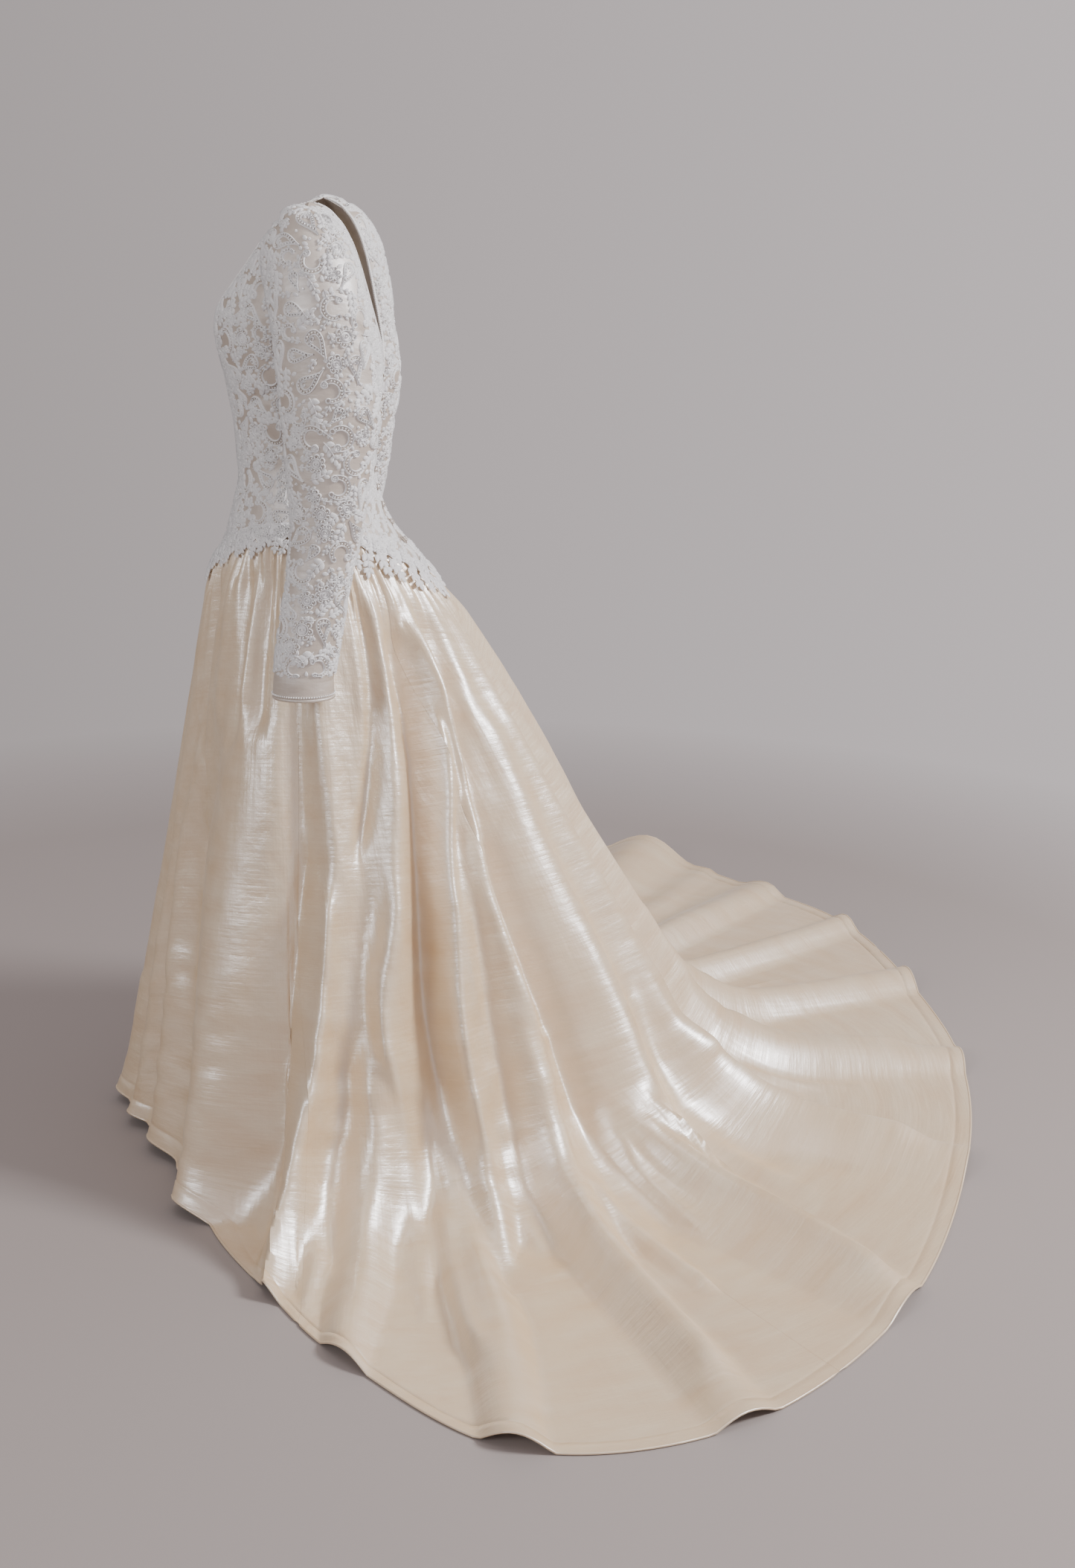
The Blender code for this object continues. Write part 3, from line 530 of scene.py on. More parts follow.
@dataclass(frozen=True)
class Satin:
    """Slubbed satin: how it is coloured and how it shines."""

    name: str = "satin"
    colour: tuple[float, float, float] = (0.66, 0.455, 0.235)
    pale: tuple[float, float, float] = (0.72, 0.55, 0.345)
    roughness: float = 0.38
    sheen: float = 0.12
    slub: float = 0.40

    def material(self) -> bpy.types.Material:
        """Make the material from noise along and across the cloth."""
        nodes = NodeChain(self.name)
        threads = nodes.noise((7.0, 210.0, 1.0), 1.0, 4.0)
        fine = nodes.noise((40.0, 1300.0, 1.0), 1.0, 2.0)
        drag = nodes.noise((85.0, 3.2, 1.0), 1.0, 3.0)
        crush = nodes.noise((15.0, 24.0, 1.0), 1.0, 5.0)
        nodes.blend_colour(crush, self.colour, self.pale, "Base Color")
        nodes.ranged(threads, self.roughness - 0.06, self.roughness + 0.12, "Roughness")
        nodes.bump(((threads, self.slub, 0.0011), (fine, 0.3, 0.0002),
                    (drag, 0.35, 0.0016), (crush, 0.4, 0.007)))
        nodes.even({
            "IOR": 2.5, "Specular IOR Level": 0.95, "Specular Tint": (0.93, 0.95, 1.0, 1.0),
            "Sheen Weight": self.sheen, "Sheen Roughness": 0.35, "Sheen Tint": (0.93, 0.94, 1.0, 1.0),
            "Anisotropic": 0.45,
        })
        return nodes.material


@dataclass(frozen=True)
class Thread:
    """White cord and thread of the lace."""

    name: str = "lace_thread"
    colour: tuple[float, float, float] = (0.77, 0.76, 0.77)
    grain: float = 1500.0

    def material(self) -> bpy.types.Material:
        """Make the material: matt thread with a fine wound grain."""
        nodes = NodeChain(self.name)
        wound = nodes.noise((self.grain, self.grain, 1.0), 1.0, 2.0)
        nodes.ranged(wound, 0.42, 0.62, "Roughness")
        nodes.bump(((wound, 0.45, 0.0004),))
        nodes.even({"Base Color": (*self.colour, 1.0), "Sheen Weight": 0.35,
                    "Sheen Tint": (0.94, 0.95, 1.0, 1.0)})
        return nodes.material


@dataclass(frozen=True)
class Pearl:
    """Small glassy pearl beads."""

    name: str = "pearl_bead"
    colour: tuple[float, float, float] = (0.84, 0.83, 0.82)
    roughness: float = 0.12

    def material(self) -> bpy.types.Material:
        """Make the material: white with a clear coat."""
        nodes = NodeChain(self.name)
        cloud = nodes.noise((90.0, 90.0, 1.0), 1.0, 2.0)
        nodes.ranged(cloud, self.roughness, self.roughness + 0.2, "Roughness")
        nodes.even({"Base Color": (*self.colour, 1.0), "Specular IOR Level": 0.8,
                    "Coat Weight": 0.6, "Coat Roughness": 0.05})
        return nodes.material


class NodeChain:
    """Builds a material's nodes on the cloth's own coordinates in metres."""

    def __init__(self, name: str) -> None:
        """Start a material with its shader and coordinates.

        Args:
            name: the material's name.
        """
        self.material = bpy.data.materials.new(name)
        self.material.use_nodes = True
        self.tree = self.material.node_tree
        self.shader = self.tree.nodes["Principled BSDF"]
        self.coords = self.tree.nodes.new("ShaderNodeTexCoord")

    def even(self, values: dict[str, float | tuple[float, ...]]) -> None:
        """Set what is the same all over the surface on the shader itself."""
        for socket, value in values.items():
            self.shader.inputs[socket].default_value = value

    def noise(self, stretch: tuple[float, float, float], scale: float, detail: float) -> bpy.types.NodeSocket:
        """Noise over the cloth, with so many waves a metre each way."""
        mapping = self.tree.nodes.new("ShaderNodeMapping")
        mapping.inputs["Scale"].default_value = stretch
        self.tree.links.new(self.coords.outputs["UV"], mapping.inputs["Vector"])
        noise = self.tree.nodes.new("ShaderNodeTexNoise")
        noise.inputs["Scale"].default_value = scale
        noise.inputs["Detail"].default_value = detail
        self.tree.links.new(mapping.outputs["Vector"], noise.inputs["Vector"])
        return noise.outputs["Fac"]

    def blend_colour(self, driver: bpy.types.NodeSocket, low: tuple[float, float, float],
                     high: tuple[float, float, float], socket: str) -> None:
        """Blend two colours by a noise into a socket of the shader."""
        ramp = self.tree.nodes.new("ShaderNodeValToRGB")
        ramp.color_ramp.elements[0].position = 0.3
        ramp.color_ramp.elements[1].position = 0.7
        ramp.color_ramp.elements[0].color = (*low, 1.0)
        ramp.color_ramp.elements[1].color = (*high, 1.0)
        self.tree.links.new(driver, ramp.inputs["Fac"])
        self.tree.links.new(ramp.outputs["Color"], self.shader.inputs[socket])

    def ranged(self, driver: bpy.types.NodeSocket, low: float, high: float, socket: str) -> None:
        """Spread a noise between two values into a socket of the shader."""
        spread = self.tree.nodes.new("ShaderNodeMapRange")
        spread.inputs["From Min"].default_value = 0.25
        spread.inputs["From Max"].default_value = 0.75
        spread.inputs["To Min"].default_value = low
        spread.inputs["To Max"].default_value = high
        self.tree.links.new(driver, spread.inputs["Value"])
        self.tree.links.new(spread.outputs["Result"], self.shader.inputs[socket])

    def bump(self, layers: tuple[tuple[bpy.types.NodeSocket, float, float], ...]) -> None:
        """Stack bumps, each a noise with its strength and height in metres."""
        before = None
        for driver, strength, distance in layers:
            bump = self.tree.nodes.new("ShaderNodeBump")
            bump.inputs["Strength"].default_value = strength
            bump.inputs["Distance"].default_value = distance
            self.tree.links.new(driver, bump.inputs["Height"])
            if before is not None:
                self.tree.links.new(before, bump.inputs["Normal"])
            before = bump.outputs["Normal"]
        self.tree.links.new(before, self.shader.inputs["Normal"])


@dataclass(frozen=True)
class Crease:
    """A soft trough, or a ridge if its depth is below 0, that runs down the skirt."""

    path: Table
    width: float
    depth: float

    def sink(self, place: Array, level: Array, spacing: Array) -> Array:
        """How far in the crease moves the cloth.

        Args:
            place: place of each point, in ridges.
            level: level of each point.
            spacing: metres from one ridge to the next at each point.

        Returns:
            Metres inwards.
        """
        levels, places = column(self.path, 0), column(self.path, 1)
        aside = (place - through(levels, places, level)) * spacing
        fade = smoothstep((level - levels[0]) / 0.06) * smoothstep((levels[-1] - level) / 0.06)
        return self.depth * fade * np.exp(-((aside / self.width) ** 2))


# Creases and fine ridges: (level, place) down their path, width, depth
CREASES: tuple[Crease, ...] = (
    # the long valley behind the side fold, and the ridges on both sides of it
    Crease(((0.05, 7.75), (0.10, 7.48), (0.155, 7.30), (0.20, 7.10), (0.25, 6.85), (0.33, 6.50),
            (0.40, 6.25), (0.50, 6.17), (0.60, 6.20), (0.70, 6.25), (0.78, 6.30)), 0.024, 0.030),
    Crease(((0.05, 7.95), (0.20, 7.52), (0.35, 6.78), (0.50, 6.42), (0.62, 6.45)), 0.013, -0.014),
    Crease(((0.18, 6.50), (0.33, 6.10), (0.40, 5.80), (0.45, 5.62), (0.58, 5.50)), 0.022, -0.013),
    Crease(((0.10, 7.90), (0.22, 7.70), (0.35, 7.05), (0.50, 6.80), (0.64, 6.72)), 0.015, -0.010),
    Crease(((0.06, 8.00), (0.20, 7.82), (0.35, 7.42), (0.52, 7.48)), 0.014, -0.010),
    Crease(((0.04, 8.30), (0.12, 8.36), (0.20, 7.98), (0.35, 7.80), (0.50, 7.82),
            (0.66, 7.75)), 0.022, 0.016),
    Crease(((0.16, 8.75), (0.35, 8.55), (0.50, 8.45), (0.66, 8.40)), 0.050, -0.012),
    Crease(((0.03, 6.55), (0.14, 6.30), (0.26, 5.75), (0.36, 5.30)), 0.012, 0.012),
    Crease(((0.02, 6.90), (0.12, 6.75), (0.24, 6.30)), 0.010, -0.008),
    # the upper front, beside the sleeve
    Crease(((0.02, 2.96), (0.15, 2.95), (0.34, 2.88)), 0.016, 0.014),
    Crease(((0.02, 3.45), (0.14, 3.46), (0.30, 3.44)), 0.018, 0.017),
    Crease(((0.02, 3.16), (0.12, 3.15), (0.28, 3.12)), 0.010, -0.007),
    Crease(((0.02, 2.42), (0.16, 2.38), (0.32, 2.28)), 0.018, -0.008),
    Crease(((0.03, 1.60), (0.18, 1.55), (0.36, 1.70)), 0.014, 0.009),
    # the side fold and the edge of the wide front panel
    Crease(((0.35, 4.75), (0.44, 4.60), (0.58, 4.42), (0.75, 4.15), (1.06, 3.96)), 0.016, 0.016),
    Crease(((0.38, 4.92), (0.58, 4.66), (0.75, 4.38), (0.85, 4.22), (1.06, 4.06)), 0.020, -0.016),
    Crease(((0.44, 1.95), (0.58, 2.30), (0.66, 2.55), (1.06, 2.86)), 0.018, 0.014),
    Crease(((0.55, 5.05), (0.70, 4.85), (0.88, 4.75)), 0.030, 0.012),
    Crease(((0.50, 5.60), (0.66, 5.62), (0.86, 5.35)), 0.022, -0.010),
    # the train, where the folds run out over the floor
    Crease(((0.60, 7.05), (0.76, 7.06), (0.97, 7.02)), 0.022, -0.019),
    Crease(((0.62, 7.45), (0.74, 7.42), (0.87, 7.46)), 0.018, -0.021),
    Crease(((0.60, 8.00), (0.74, 8.10), (1.00, 8.05)), 0.024, -0.022),
    Crease(((0.61, 8.16), (0.70, 8.28), (0.82, 8.42)), 0.013, -0.018),
    Crease(((0.60, 7.88), (0.70, 7.84), (0.80, 7.78)), 0.013, -0.015),
    Crease(((0.60, 9.05), (0.76, 9.12), (0.97, 9.08)), 0.045, -0.021),
    Crease(((0.70, 9.62), (0.82, 9.66), (0.93, 9.74)), 0.018, -0.019),
    Crease(((0.66, 10.20), (0.80, 10.22), (0.96, 10.15)), 0.028, -0.019),
    Crease(((0.64, 6.60), (0.78, 6.55), (0.93, 6.62)), 0.020, 0.018),
    Crease(((0.62, 5.95), (0.74, 5.85), (0.90, 5.90)), 0.018, -0.018),
    # the far back and the wearer's right side, of the same kinds
    Crease(((0.05, 10.10), (0.24, 10.30), (0.46, 10.12), (0.70, 10.40)), 0.020, 0.018),
    Crease(((0.04, 11.20), (0.22, 11.05), (0.48, 11.30), (0.74, 11.10)), 0.022, -0.012),
    Crease(((0.06, 12.40), (0.28, 12.62), (0.52, 12.48), (0.78, 12.55)), 0.024, 0.020),
    Crease(((0.08, 13.20), (0.30, 13.42), (0.54, 13.30)), 0.018, -0.013),
    Crease(((0.04, 14.30), (0.26, 14.10), (0.50, 14.42), (0.90, 14.36)), 0.024, 0.018),
    Crease(((0.10, 15.10), (0.34, 15.32), (0.60, 15.22), (0.86, 15.40)), 0.020, -0.014),
    Crease(((0.03, 16.20), (0.24, 16.42), (0.52, 16.30), (0.96, 16.45)), 0.020, 0.016),
    Crease(((0.05, -1.40), (0.30, -1.60), (0.60, -1.46), (1.00, -1.56)), 0.018, 0.014),
    Crease(((0.04, 0.48), (0.26, 0.36), (0.52, 0.55), (0.98, 0.44)), 0.016, 0.012),
    Crease(((0.12, -0.60), (0.40, -0.48), (0.74, -0.62)), 0.022, -0.010),
)


@dataclass(frozen=True)
class SkirtPanel:
    """One panel of the skirt and the flat size of its cut."""

    name: str
    start: float
    end: float
    per_fold: int
    flat: tuple[float, float]
    area: float

    def places(self) -> Array:
        """Places of the panel's columns, in ridges round the skirt."""
        return np.linspace(self.start, self.end, int(round((self.end - self.start) * self.per_fold)) + 1)


@dataclass
class Skirt:
    """The gathered skirt and its train, in four panels."""

    finish: Satin
    rows: int = 165
    cloth: float = 0.0016
    hem_depth: float = 0.022
    stitching: float = 0.0240
    stitch_width: float = 0.0011
    hem_rows_start: float = 0.0320
    roll: float = 0.0018
    panels: tuple[SkirtPanel, ...] = (
        SkirtPanel("skirt_front", -2.5, 4.5, 20, (1.45, 1.19), 0.84),
        SkirtPanel("skirt_left", 4.5, 7.5, 28, (0.92, 1.62), 0.70),
        SkirtPanel("train_back", 7.5, 11.5, 25, (1.60, 1.60), 1.21),
        SkirtPanel("skirt_right", 11.5, 16.5, 16, (1.94, 1.89), 1.30),
    )

    def surface(self, place: Array, level: Array) -> tuple[Array, Array]:
        """Outer surface of the skirt and the cloth coordinates on it.

        Args:
            place: places round the skirt, in ridges.
            level: 0 at the seam to 1 at the hem.

        Returns:
            Points, and coordinates in metres across and down the cloth.
        """
        point, s, share = ridge_surface(place, level)
        along = ridge_surface(place + 0.02, level)[0] - ridge_surface(place - 0.02, level)[0]
        low, high = np.maximum(level - 0.01, 0), np.minimum(level + 0.01, 1)
        down = ridge_surface(place, high)[0] - ridge_surface(place, low)[0]
        out = unit(np.cross(down, along))
        spacing = np.linalg.norm(along, axis=-1) / 0.04
        depth = self.fold_depth(place, level, share) + self.gather_depth(place, s)
        for crease in CREASES:
            depth = depth + crease.sink(place, level, spacing)
        depth = depth + self.unevenness(place, level, s, share)
        height = point[..., 2] + SHOULDER_HEIGHT
        room = (height - self.cloth - 0.0008) / np.maximum(out[..., 2], 0.25)
        depth = np.minimum(depth, np.maximum(room, 0.0))
        left = s / np.maximum(level, 1e-3) - s
        stitched = np.exp(-(((left - self.stitching) / self.stitch_width) ** 2))
        turned_up = smoothstep(1 - (left - self.hem_depth) / 0.003)
        point = point - out * (depth + 0.0010 * stitched - 0.0007 * turned_up)[..., None]
        return point, np.stack([place * 0.17, s], axis=-1)

    def rows_of(self, places: Array) -> tuple[Array, Array]:
        """Places and levels of a panel's grid, its last rows close about the hem's stitching."""
        near = np.array((0.0256, 0.0240, 0.0224, 0.0130, 0.0050, 0.0))
        reach = ridge_surface(places, np.full(places.shape, 0.02))[1] / 0.02
        even = np.linspace(0, 1, self.rows - len(near))[:, None]
        level = np.concatenate([even * (1 - self.hem_rows_start / reach), 1 - near[:, None] / reach])
        return np.broadcast_to(places, level.shape).copy(), level

    def fold_depth(self, place: Array, level: Array, share: Array) -> Array:
        """How far in the valleys between the big folds lie."""
        fold = leaned(place, level)
        t = fold - np.floor(fold)
        valley = column(FOLDS, 7)[np.floor(fold).astype(int) % len(FOLDS)]
        crowding = (leaned(place + 0.25, level) - leaned(place - 0.25, level)) / 0.5
        valley = valley * np.clip(1 / crowding, 0, 1)
        wave = np.sin(math.pi * t) ** 2
        laid = 1 - np.abs(np.cos(math.pi * t)) ** 2.6
        laid = laid - 0.42 * np.exp(-(((t - 0.5) / 0.13) ** 2))
        wave = wave + (laid - wave) * smoothstep((share - 0.92) / 0.2)
        return valley * np.clip(share, 0, 1) * wave

    def gather_depth(self, place: Array, s: Array) -> Array:
        """Gathers under the seam: three to a fold, with finer ones between."""
        turn = place + 0.05 * np.sin(5.1 * place)
        broad = 0.5 - 0.5 * np.cos(6 * math.pi * turn)
        fine = 0.5 - 0.5 * np.cos(14 * math.pi * turn + 1.3 * np.sin(3.7 * place))
        reach = 0.095 + 0.05 * wander(place * 1.9, 0 * place, 4)
        near_seam = np.exp(-((s / reach) ** 2)) * (0.75 + 10 * np.clip(s, 0, 0.03))
        return (0.0062 * broad + 0.0016 * fine) * near_seam

    def unevenness(self, place: Array, level: Array, s: Array, share: Array) -> Array:
        """Slight waves that no two folds share, and the crumples above the hem."""
        grown = smoothstep(share / 0.25)
        slow = 0.0034 * wander(place * 1.7 + 0.6 * level, s / 0.30, 3)
        quick = 0.0012 * wander(place * 4.1 + s * 3.0, s / 0.13, 8)
        quick = quick + 0.0005 * wander(place * 9.3 - s * 9.0, s / 0.05, 15)
        standing = smoothstep((share - 0.55) / 0.25) * smoothstep((1.02 - share) / 0.06)
        crumple = 0.0022 * wander(place * 3.1, s / 0.026, 12) * standing
        return (slow + quick + crumple) * grown

    def build(self) -> list[bpy.types.Object]:
        """Make the panels and stand them for their solids."""
        material = self.finish.material()
        made = []
        for panel in self.panels:
            place, level = self.rows_of(panel.places())
            points, coords = self.surface(place, level)
            normals = self.outward(place, level)
            for edge, beside in ((0, 1), (-1, -2)):
                points[:, edge] += unit(points[:, beside] - points[:, edge]) * SEAM_GAP * 0.5
            inner = points - normals * self.cloth
            inner[..., 2] = np.maximum(inner[..., 2], 0.0002 - SHOULDER_HEIGHT)
            obj = cloth_piece(panel.name + "_cloth", (points, inner), coords, material, panel.name)
            roll = self.hem_roll(panel.name, points[-1], normals[-1], material)
            made += [obj, roll]
        return made

    def hem_roll(self, name: str, edge: Array, normals: Array,
                 material: bpy.types.Material) -> bpy.types.Object:
        """Make the rounded fold at the bottom of a panel's turned hem."""
        path = edge - normals * self.cloth * 0.4
        path[:, 2] = np.maximum(path[:, 2], self.roll + 0.0003 - SHOULDER_HEIGHT)
        store = MeshStore()
        raise_tube(store, path, self.roll, sides=8)
        obj = store.build(name + "_hem", material)
        finish_piece(obj)
        return obj

    def outward(self, place: Array, level: Array) -> Array:
        """Outward directions, the same on both sides of a seam."""
        aside = self.surface(place + 0.02, level)[0] - self.surface(place - 0.02, level)[0]
        low, high = np.maximum(level - 0.003, 0), np.minimum(level + 0.003, 1)
        return unit(np.cross(self.surface(place, high)[0] - self.surface(place, low)[0], aside))


def finish_piece(obj: bpy.types.Object, nodes: tuple[str, ...] = ()) -> None:
    """Fix a piece to the dress.

    Args:
        obj: the piece.
        nodes: solids that it stands for.
    """
    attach(obj, "root")
    if nodes:
        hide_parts(*nodes)
    log.info("%s: %d faces", obj.name, len(obj.data.polygons))


def cloth_piece(name: str, walls: tuple[Array, Array], coords: Array, material: bpy.types.Material,
                node: str, wrap: bool = False) -> bpy.types.Object:
    """Make a sheet of cloth as a thin wall that stands for a solid.

    Args:
        name: the piece's name.
        walls: grids of its outer and inner points.
        coords: cloth coordinates in metres.
        material: its finish.
        node: the solid that it stands for.
        wrap: its rows are closed rings.

    Returns:
        The piece.
    """
    store = MeshStore()
    add_wall(store, *walls, coords, wrap)
    obj = store.build(name, material, sharp=CLOTH_SHARP)
    finish_piece(obj, (node,))
    return obj


class Form:
    """A surface that cloth and lace lie on, by two coordinates."""

    nudge: tuple[float, float] = (0.4, 0.0015)
    turned: float = 1.0

    def at(self, a: Array, b: Array) -> Array:
        """Points of the surface."""
        raise NotImplementedError

    def inside(self, a: Array, b: Array) -> Array:
        """Whether places lie on the part of the surface that lace covers."""
        raise NotImplementedError

    def ways(self, a: Array, b: Array) -> tuple[Array, Array, Array]:
        """Directions on the surface.

        Args:
            a: first coordinate.
            b: second coordinate.

        Returns:
            Metres moved for one of a, metres moved for one of b, and the way out.
        """
        da, db = self.nudge
        along = (self.at(a + da, b) - self.at(a - da, b)) / (2 * da)
        down = (self.at(a, b + db) - self.at(a, b - db)) / (2 * db)
        return along, down, self.turned * unit(np.cross(along, down))


@dataclass
class BodiceForm(Form):
    """The bodice's outer surface, by bearing in degrees and height."""

    low: float = 0.0
    high: float = 90.0
    margin: float = 0.004
    # two creases at the side: height, rise for a degree of bearing, width, depth
    creases: Table = ((1.172, 0.0007, 0.009, 0.0045), (1.120, -0.0009, 0.008, 0.0025))

    def at(self, a: Array, b: Array) -> Array:
        """Points at bearings and heights, with the cloth's slight creases."""
        height = np.clip(b, TORSO[0][0], TORSO[-1][0])
        point = torso(a, height)
        normal = torso_normal(a, height)
        room = smoothstep((height - seam_height(a)) / 0.02)
        room = room * smoothstep((upper_edge(a) - height) / 0.02)
        rumple = 0.0013 * wander(np.abs(a) / 14, height / 0.045, 5)
        side, trough = np.abs(a), 0.0
        for level, slope, width, depth in self.creases:
            aside = (height - level - slope * (side - 60)) / width
            trough = trough + depth * np.exp(-(aside**2))
        trough = trough * smoothstep((side - 40) / 20) * smoothstep((112 - side) / 20)
        return point + normal * ((rumple - trough) * room)[..., None]

    def inside(self, a: Array, b: Array) -> Array:
        """Whether places lie between the seam and the upper edge."""
        fits = (a >= self.low) & (a <= self.high)
        return fits & (b >= seam_height(a) + self.margin) & (b <= upper_edge(a) - self.margin)


@dataclass
class Bodice:
    """Front and two backs of the bodice, in satin under the lace."""

    columns: int = 44
    rows: int = 61
    cloth: float = 0.0014

    def grid(self, edge: Table) -> tuple[Array, Array, Array]:
        """Points, normals and cloth coordinates of half a panel."""
        knots = column(edge, 0)
        ordered = np.linspace(0, len(knots) - 1, self.columns + 1)
        shares = np.interp(ordered, np.arange(len(knots)), knots)
        share, rise = np.meshgrid(shares, np.linspace(0, 1, self.rows))
        bearing, height = panel_point(edge, share, rise)
        point = BodiceForm().at(bearing, height)
        return point, torso_normal(bearing, height), np.stack([bearing * 0.0026, height], axis=-1)

    def build(self) -> list[bpy.types.Object]:
        """Make the three panels and stand them for their solids."""
        # The bodice satin is much darker than the skirt's cream satin: painted shade for the gaps between the
        # lace cords. The sleeves, cuff bands, bindings, buttons and loops share this darkened satin.
        material = Satin("bodice_satin", (0.36, 0.27, 0.185), (0.43, 0.34, 0.25), 0.50, 0.05, 0.16).material()
        point, normal, coords = self.grid(FRONT_EDGE)
        whole = [np.concatenate([(half * FLIP[: half.shape[-1]])[:, :0:-1], half], axis=1)
                 for half in (point, normal, coords)]
        made = [self.panel("bodice_front", *whole, material, (0.62, 0.56), 0.168)]
        point, normal, coords = self.grid(BACK_EDGE)
        for side in Side:
            made.append(self.panel(f"bodice_back_{side.word}", mirror(point, side), mirror(normal, side),
                                   coords, material, (0.30, 0.56), 0.083))
        return made

    def panel(self, name: str, points: Array, normals: Array, coords: Array,
              material: bpy.types.Material, flat: tuple[float, float], area: float) -> bpy.types.Object:
        """Make one panel as a thin wall.

        Args:
            name: the solid that it stands for.
            points: its outer points.
            normals: outward directions.
            coords: cloth coordinates.
            material: its finish.
            flat: width and length of the cut; not used.
            area: area of the cut; not used.

        Returns:
            The panel.
        """
        walls = (points, points - normals * self.cloth)
        obj = cloth_piece(name + "_cloth", walls, coords, material, name)
        return obj


def armhole(turn: Array) -> tuple[Array, Array]:
    """Edge of the left armhole.

    Args:
        turn: radians from the front of the sleeve by its top to its back.

    Returns:
        Points of the edge, and the way off it into the hole.
    """
    found = []
    for edge, low, high in ((FRONT_EDGE, 0.70, 1.0), (BACK_EDGE, 0.0, 0.30)):
        shares = np.linspace(low, high, 60)
        bearing, height = panel_point(edge, shares, np.ones(60))
        found.append((torso(bearing, height), torso_normal(bearing, height)))
    point, normal = (np.concatenate(pair) for pair in zip(*found))
    centre = (point.min(axis=0) + point.max(axis=0)) / 2
    angle = np.arctan2(point[:, 2] - centre[2], centre[1] - point[:, 1])
    order = np.argsort(angle)
    angle, point, normal = angle[order], point[order], normal[order]
    out = unit(np.cross(np.roll(point, -3, axis=0) - np.roll(point, 3, axis=0), normal))
    out = out * np.sign(np.sum(out * (centre - point), axis=-1, keepdims=True))
    wrapped = np.concatenate([angle - 2 * math.pi, angle, angle + 2 * math.pi])
    want = np.mod(turn, 2 * math.pi)
    read = []
    for values in (point, out):
        rows = np.concatenate([values] * 3)
        read.append(np.stack([np.interp(want, wrapped, rows[:, k]) for k in range(3)], axis=-1))
    return read[0], unit(read[1])


@dataclass
class SleeveForm(Form):
    """The left sleeve's outer surface, by turn in radians and rows down it."""

    nudge: tuple[float, float] = (0.02, 0.05)
    turned: float = -1.0
    tucks: Table = ((1.02, 0.0062, 0.075), (1.92, 0.0070, 0.085))
    wrinkles: Table = (
        (2.9, 6.2, 0.0035, 0.55),
        (3.1, 7.1, -0.0030, 0.45),
        (2.6, 7.9, 0.0030, 0.40),
        (0.4, 5.3, 0.0030, 0.45),
        (0.2, 8.6, 0.0024, 0.40),
        (3.3, 9.6, 0.0024, 0.45),
    )

    def at(self, a: Array, b: Array) -> Array:
        """Points at turns and rows, with tucks at the head and slight wrinkles."""
        a, b = np.broadcast_arrays(np.asarray(a, dtype=float), np.asarray(b, dtype=float))
        rows = np.arange(len(SLEEVE), dtype=float)
        row = np.clip(b - 1, 0, len(SLEEVE) - 1)
        inner_x, inner_h, outer_x, outer_h, front, back = (
            through(rows, column(SLEEVE, k), row) for k in range(6)
        )
        point = self.ring(a, inner_x, inner_h, outer_x, outer_h, front, back)
        edge, out = armhole(a)
        first = self.ring(a, *(np.full(a.shape, value) for value in SLEEVE[0]))
        blend = (1 - smoothstep(b / 1.6))[..., None]
        point = point + (edge + out * 2 * SEAM_GAP - first) * blend
        middle = np.stack([(inner_x + outer_x) / 2, (front + back) / 2,
                           (inner_h + outer_h) / 2 - SHOULDER_HEIGHT], axis=-1)
        away = unit(point - middle)
        return point + away * self.relief(a, b)[..., None]

    def ring(self, turn: Array, inner_x: Array, inner_h: Array, outer_x: Array, outer_h: Array,
             front: Array, back: Array) -> Array:
        """Points of a ring with the given inner, outer, front and back limits."""
        x = inner_x + (outer_x - inner_x) * (1 + np.sin(turn)) / 2
        y = (front + back) / 2 + (front - back) / 2 * np.cos(turn)
        z = inner_h + (outer_h - inner_h) * (1 + np.sin(turn)) / 2
        return np.stack([x, y, z - SHOULDER_HEIGHT], axis=-1)

    def relief(self, turn: Array, row: Array) -> Array:
        """How far out tucks, wrinkles and slight unevenness move the cloth."""
        turn = np.mod(turn, 2 * math.pi)
        puff = np.clip(np.sin(turn), 0, 1) * smoothstep((4 - row) / 3) * smoothstep(row / 0.6)
        lift = 0.003 * puff * np.cos(5 * turn)
        for place, depth, width in self.tucks:
            lean = turn - place - 0.03 * row * np.sign(place - math.pi / 2)
            fade = smoothstep((4.2 - row) / 3.2) * smoothstep(row / 0.4)
            lift = lift - depth * fade * np.exp(-((lean / width) ** 2))
        for place, centre, depth, length in self.wrinkles:
            aside = (row - centre - 0.35 * (turn - place)) / 0.16
            lift = lift - depth * np.exp(-(aside**2) - ((turn - place) / length) ** 2)
        uneven = 0.0010 * wander(turn * 2.5, row / 1.3, 7)
        return lift + uneven * smoothstep(row / 1.5) * smoothstep((16 - row) / 1.5)

    def wrist(self, count: int) -> tuple[Array, Array, Array]:
        """Points round the wrist, their level way out, and the cuff's slight ripple."""
        turns = np.arange(count) * 2 * math.pi / count
        points = self.at(turns, np.full(count, 16.0))
        out = unit((points - points.mean(axis=0)) * np.array([1.0, 1.0, 0.0]))
        return points, out, 0.0006 * np.sin(3 * turns + 1.0)

    def inside(self, a: Array, b: Array) -> Array:
        """Whether places lie between the armhole and the plain wrist."""
        return (b > 0.35) & (b < 15.72)


@dataclass(frozen=True)
class SleevePanel:
    """One panel of a sleeve and the flat size of its cut."""

    name: str
    start: float
    end: float
    flat: tuple[float, float]
    area: float


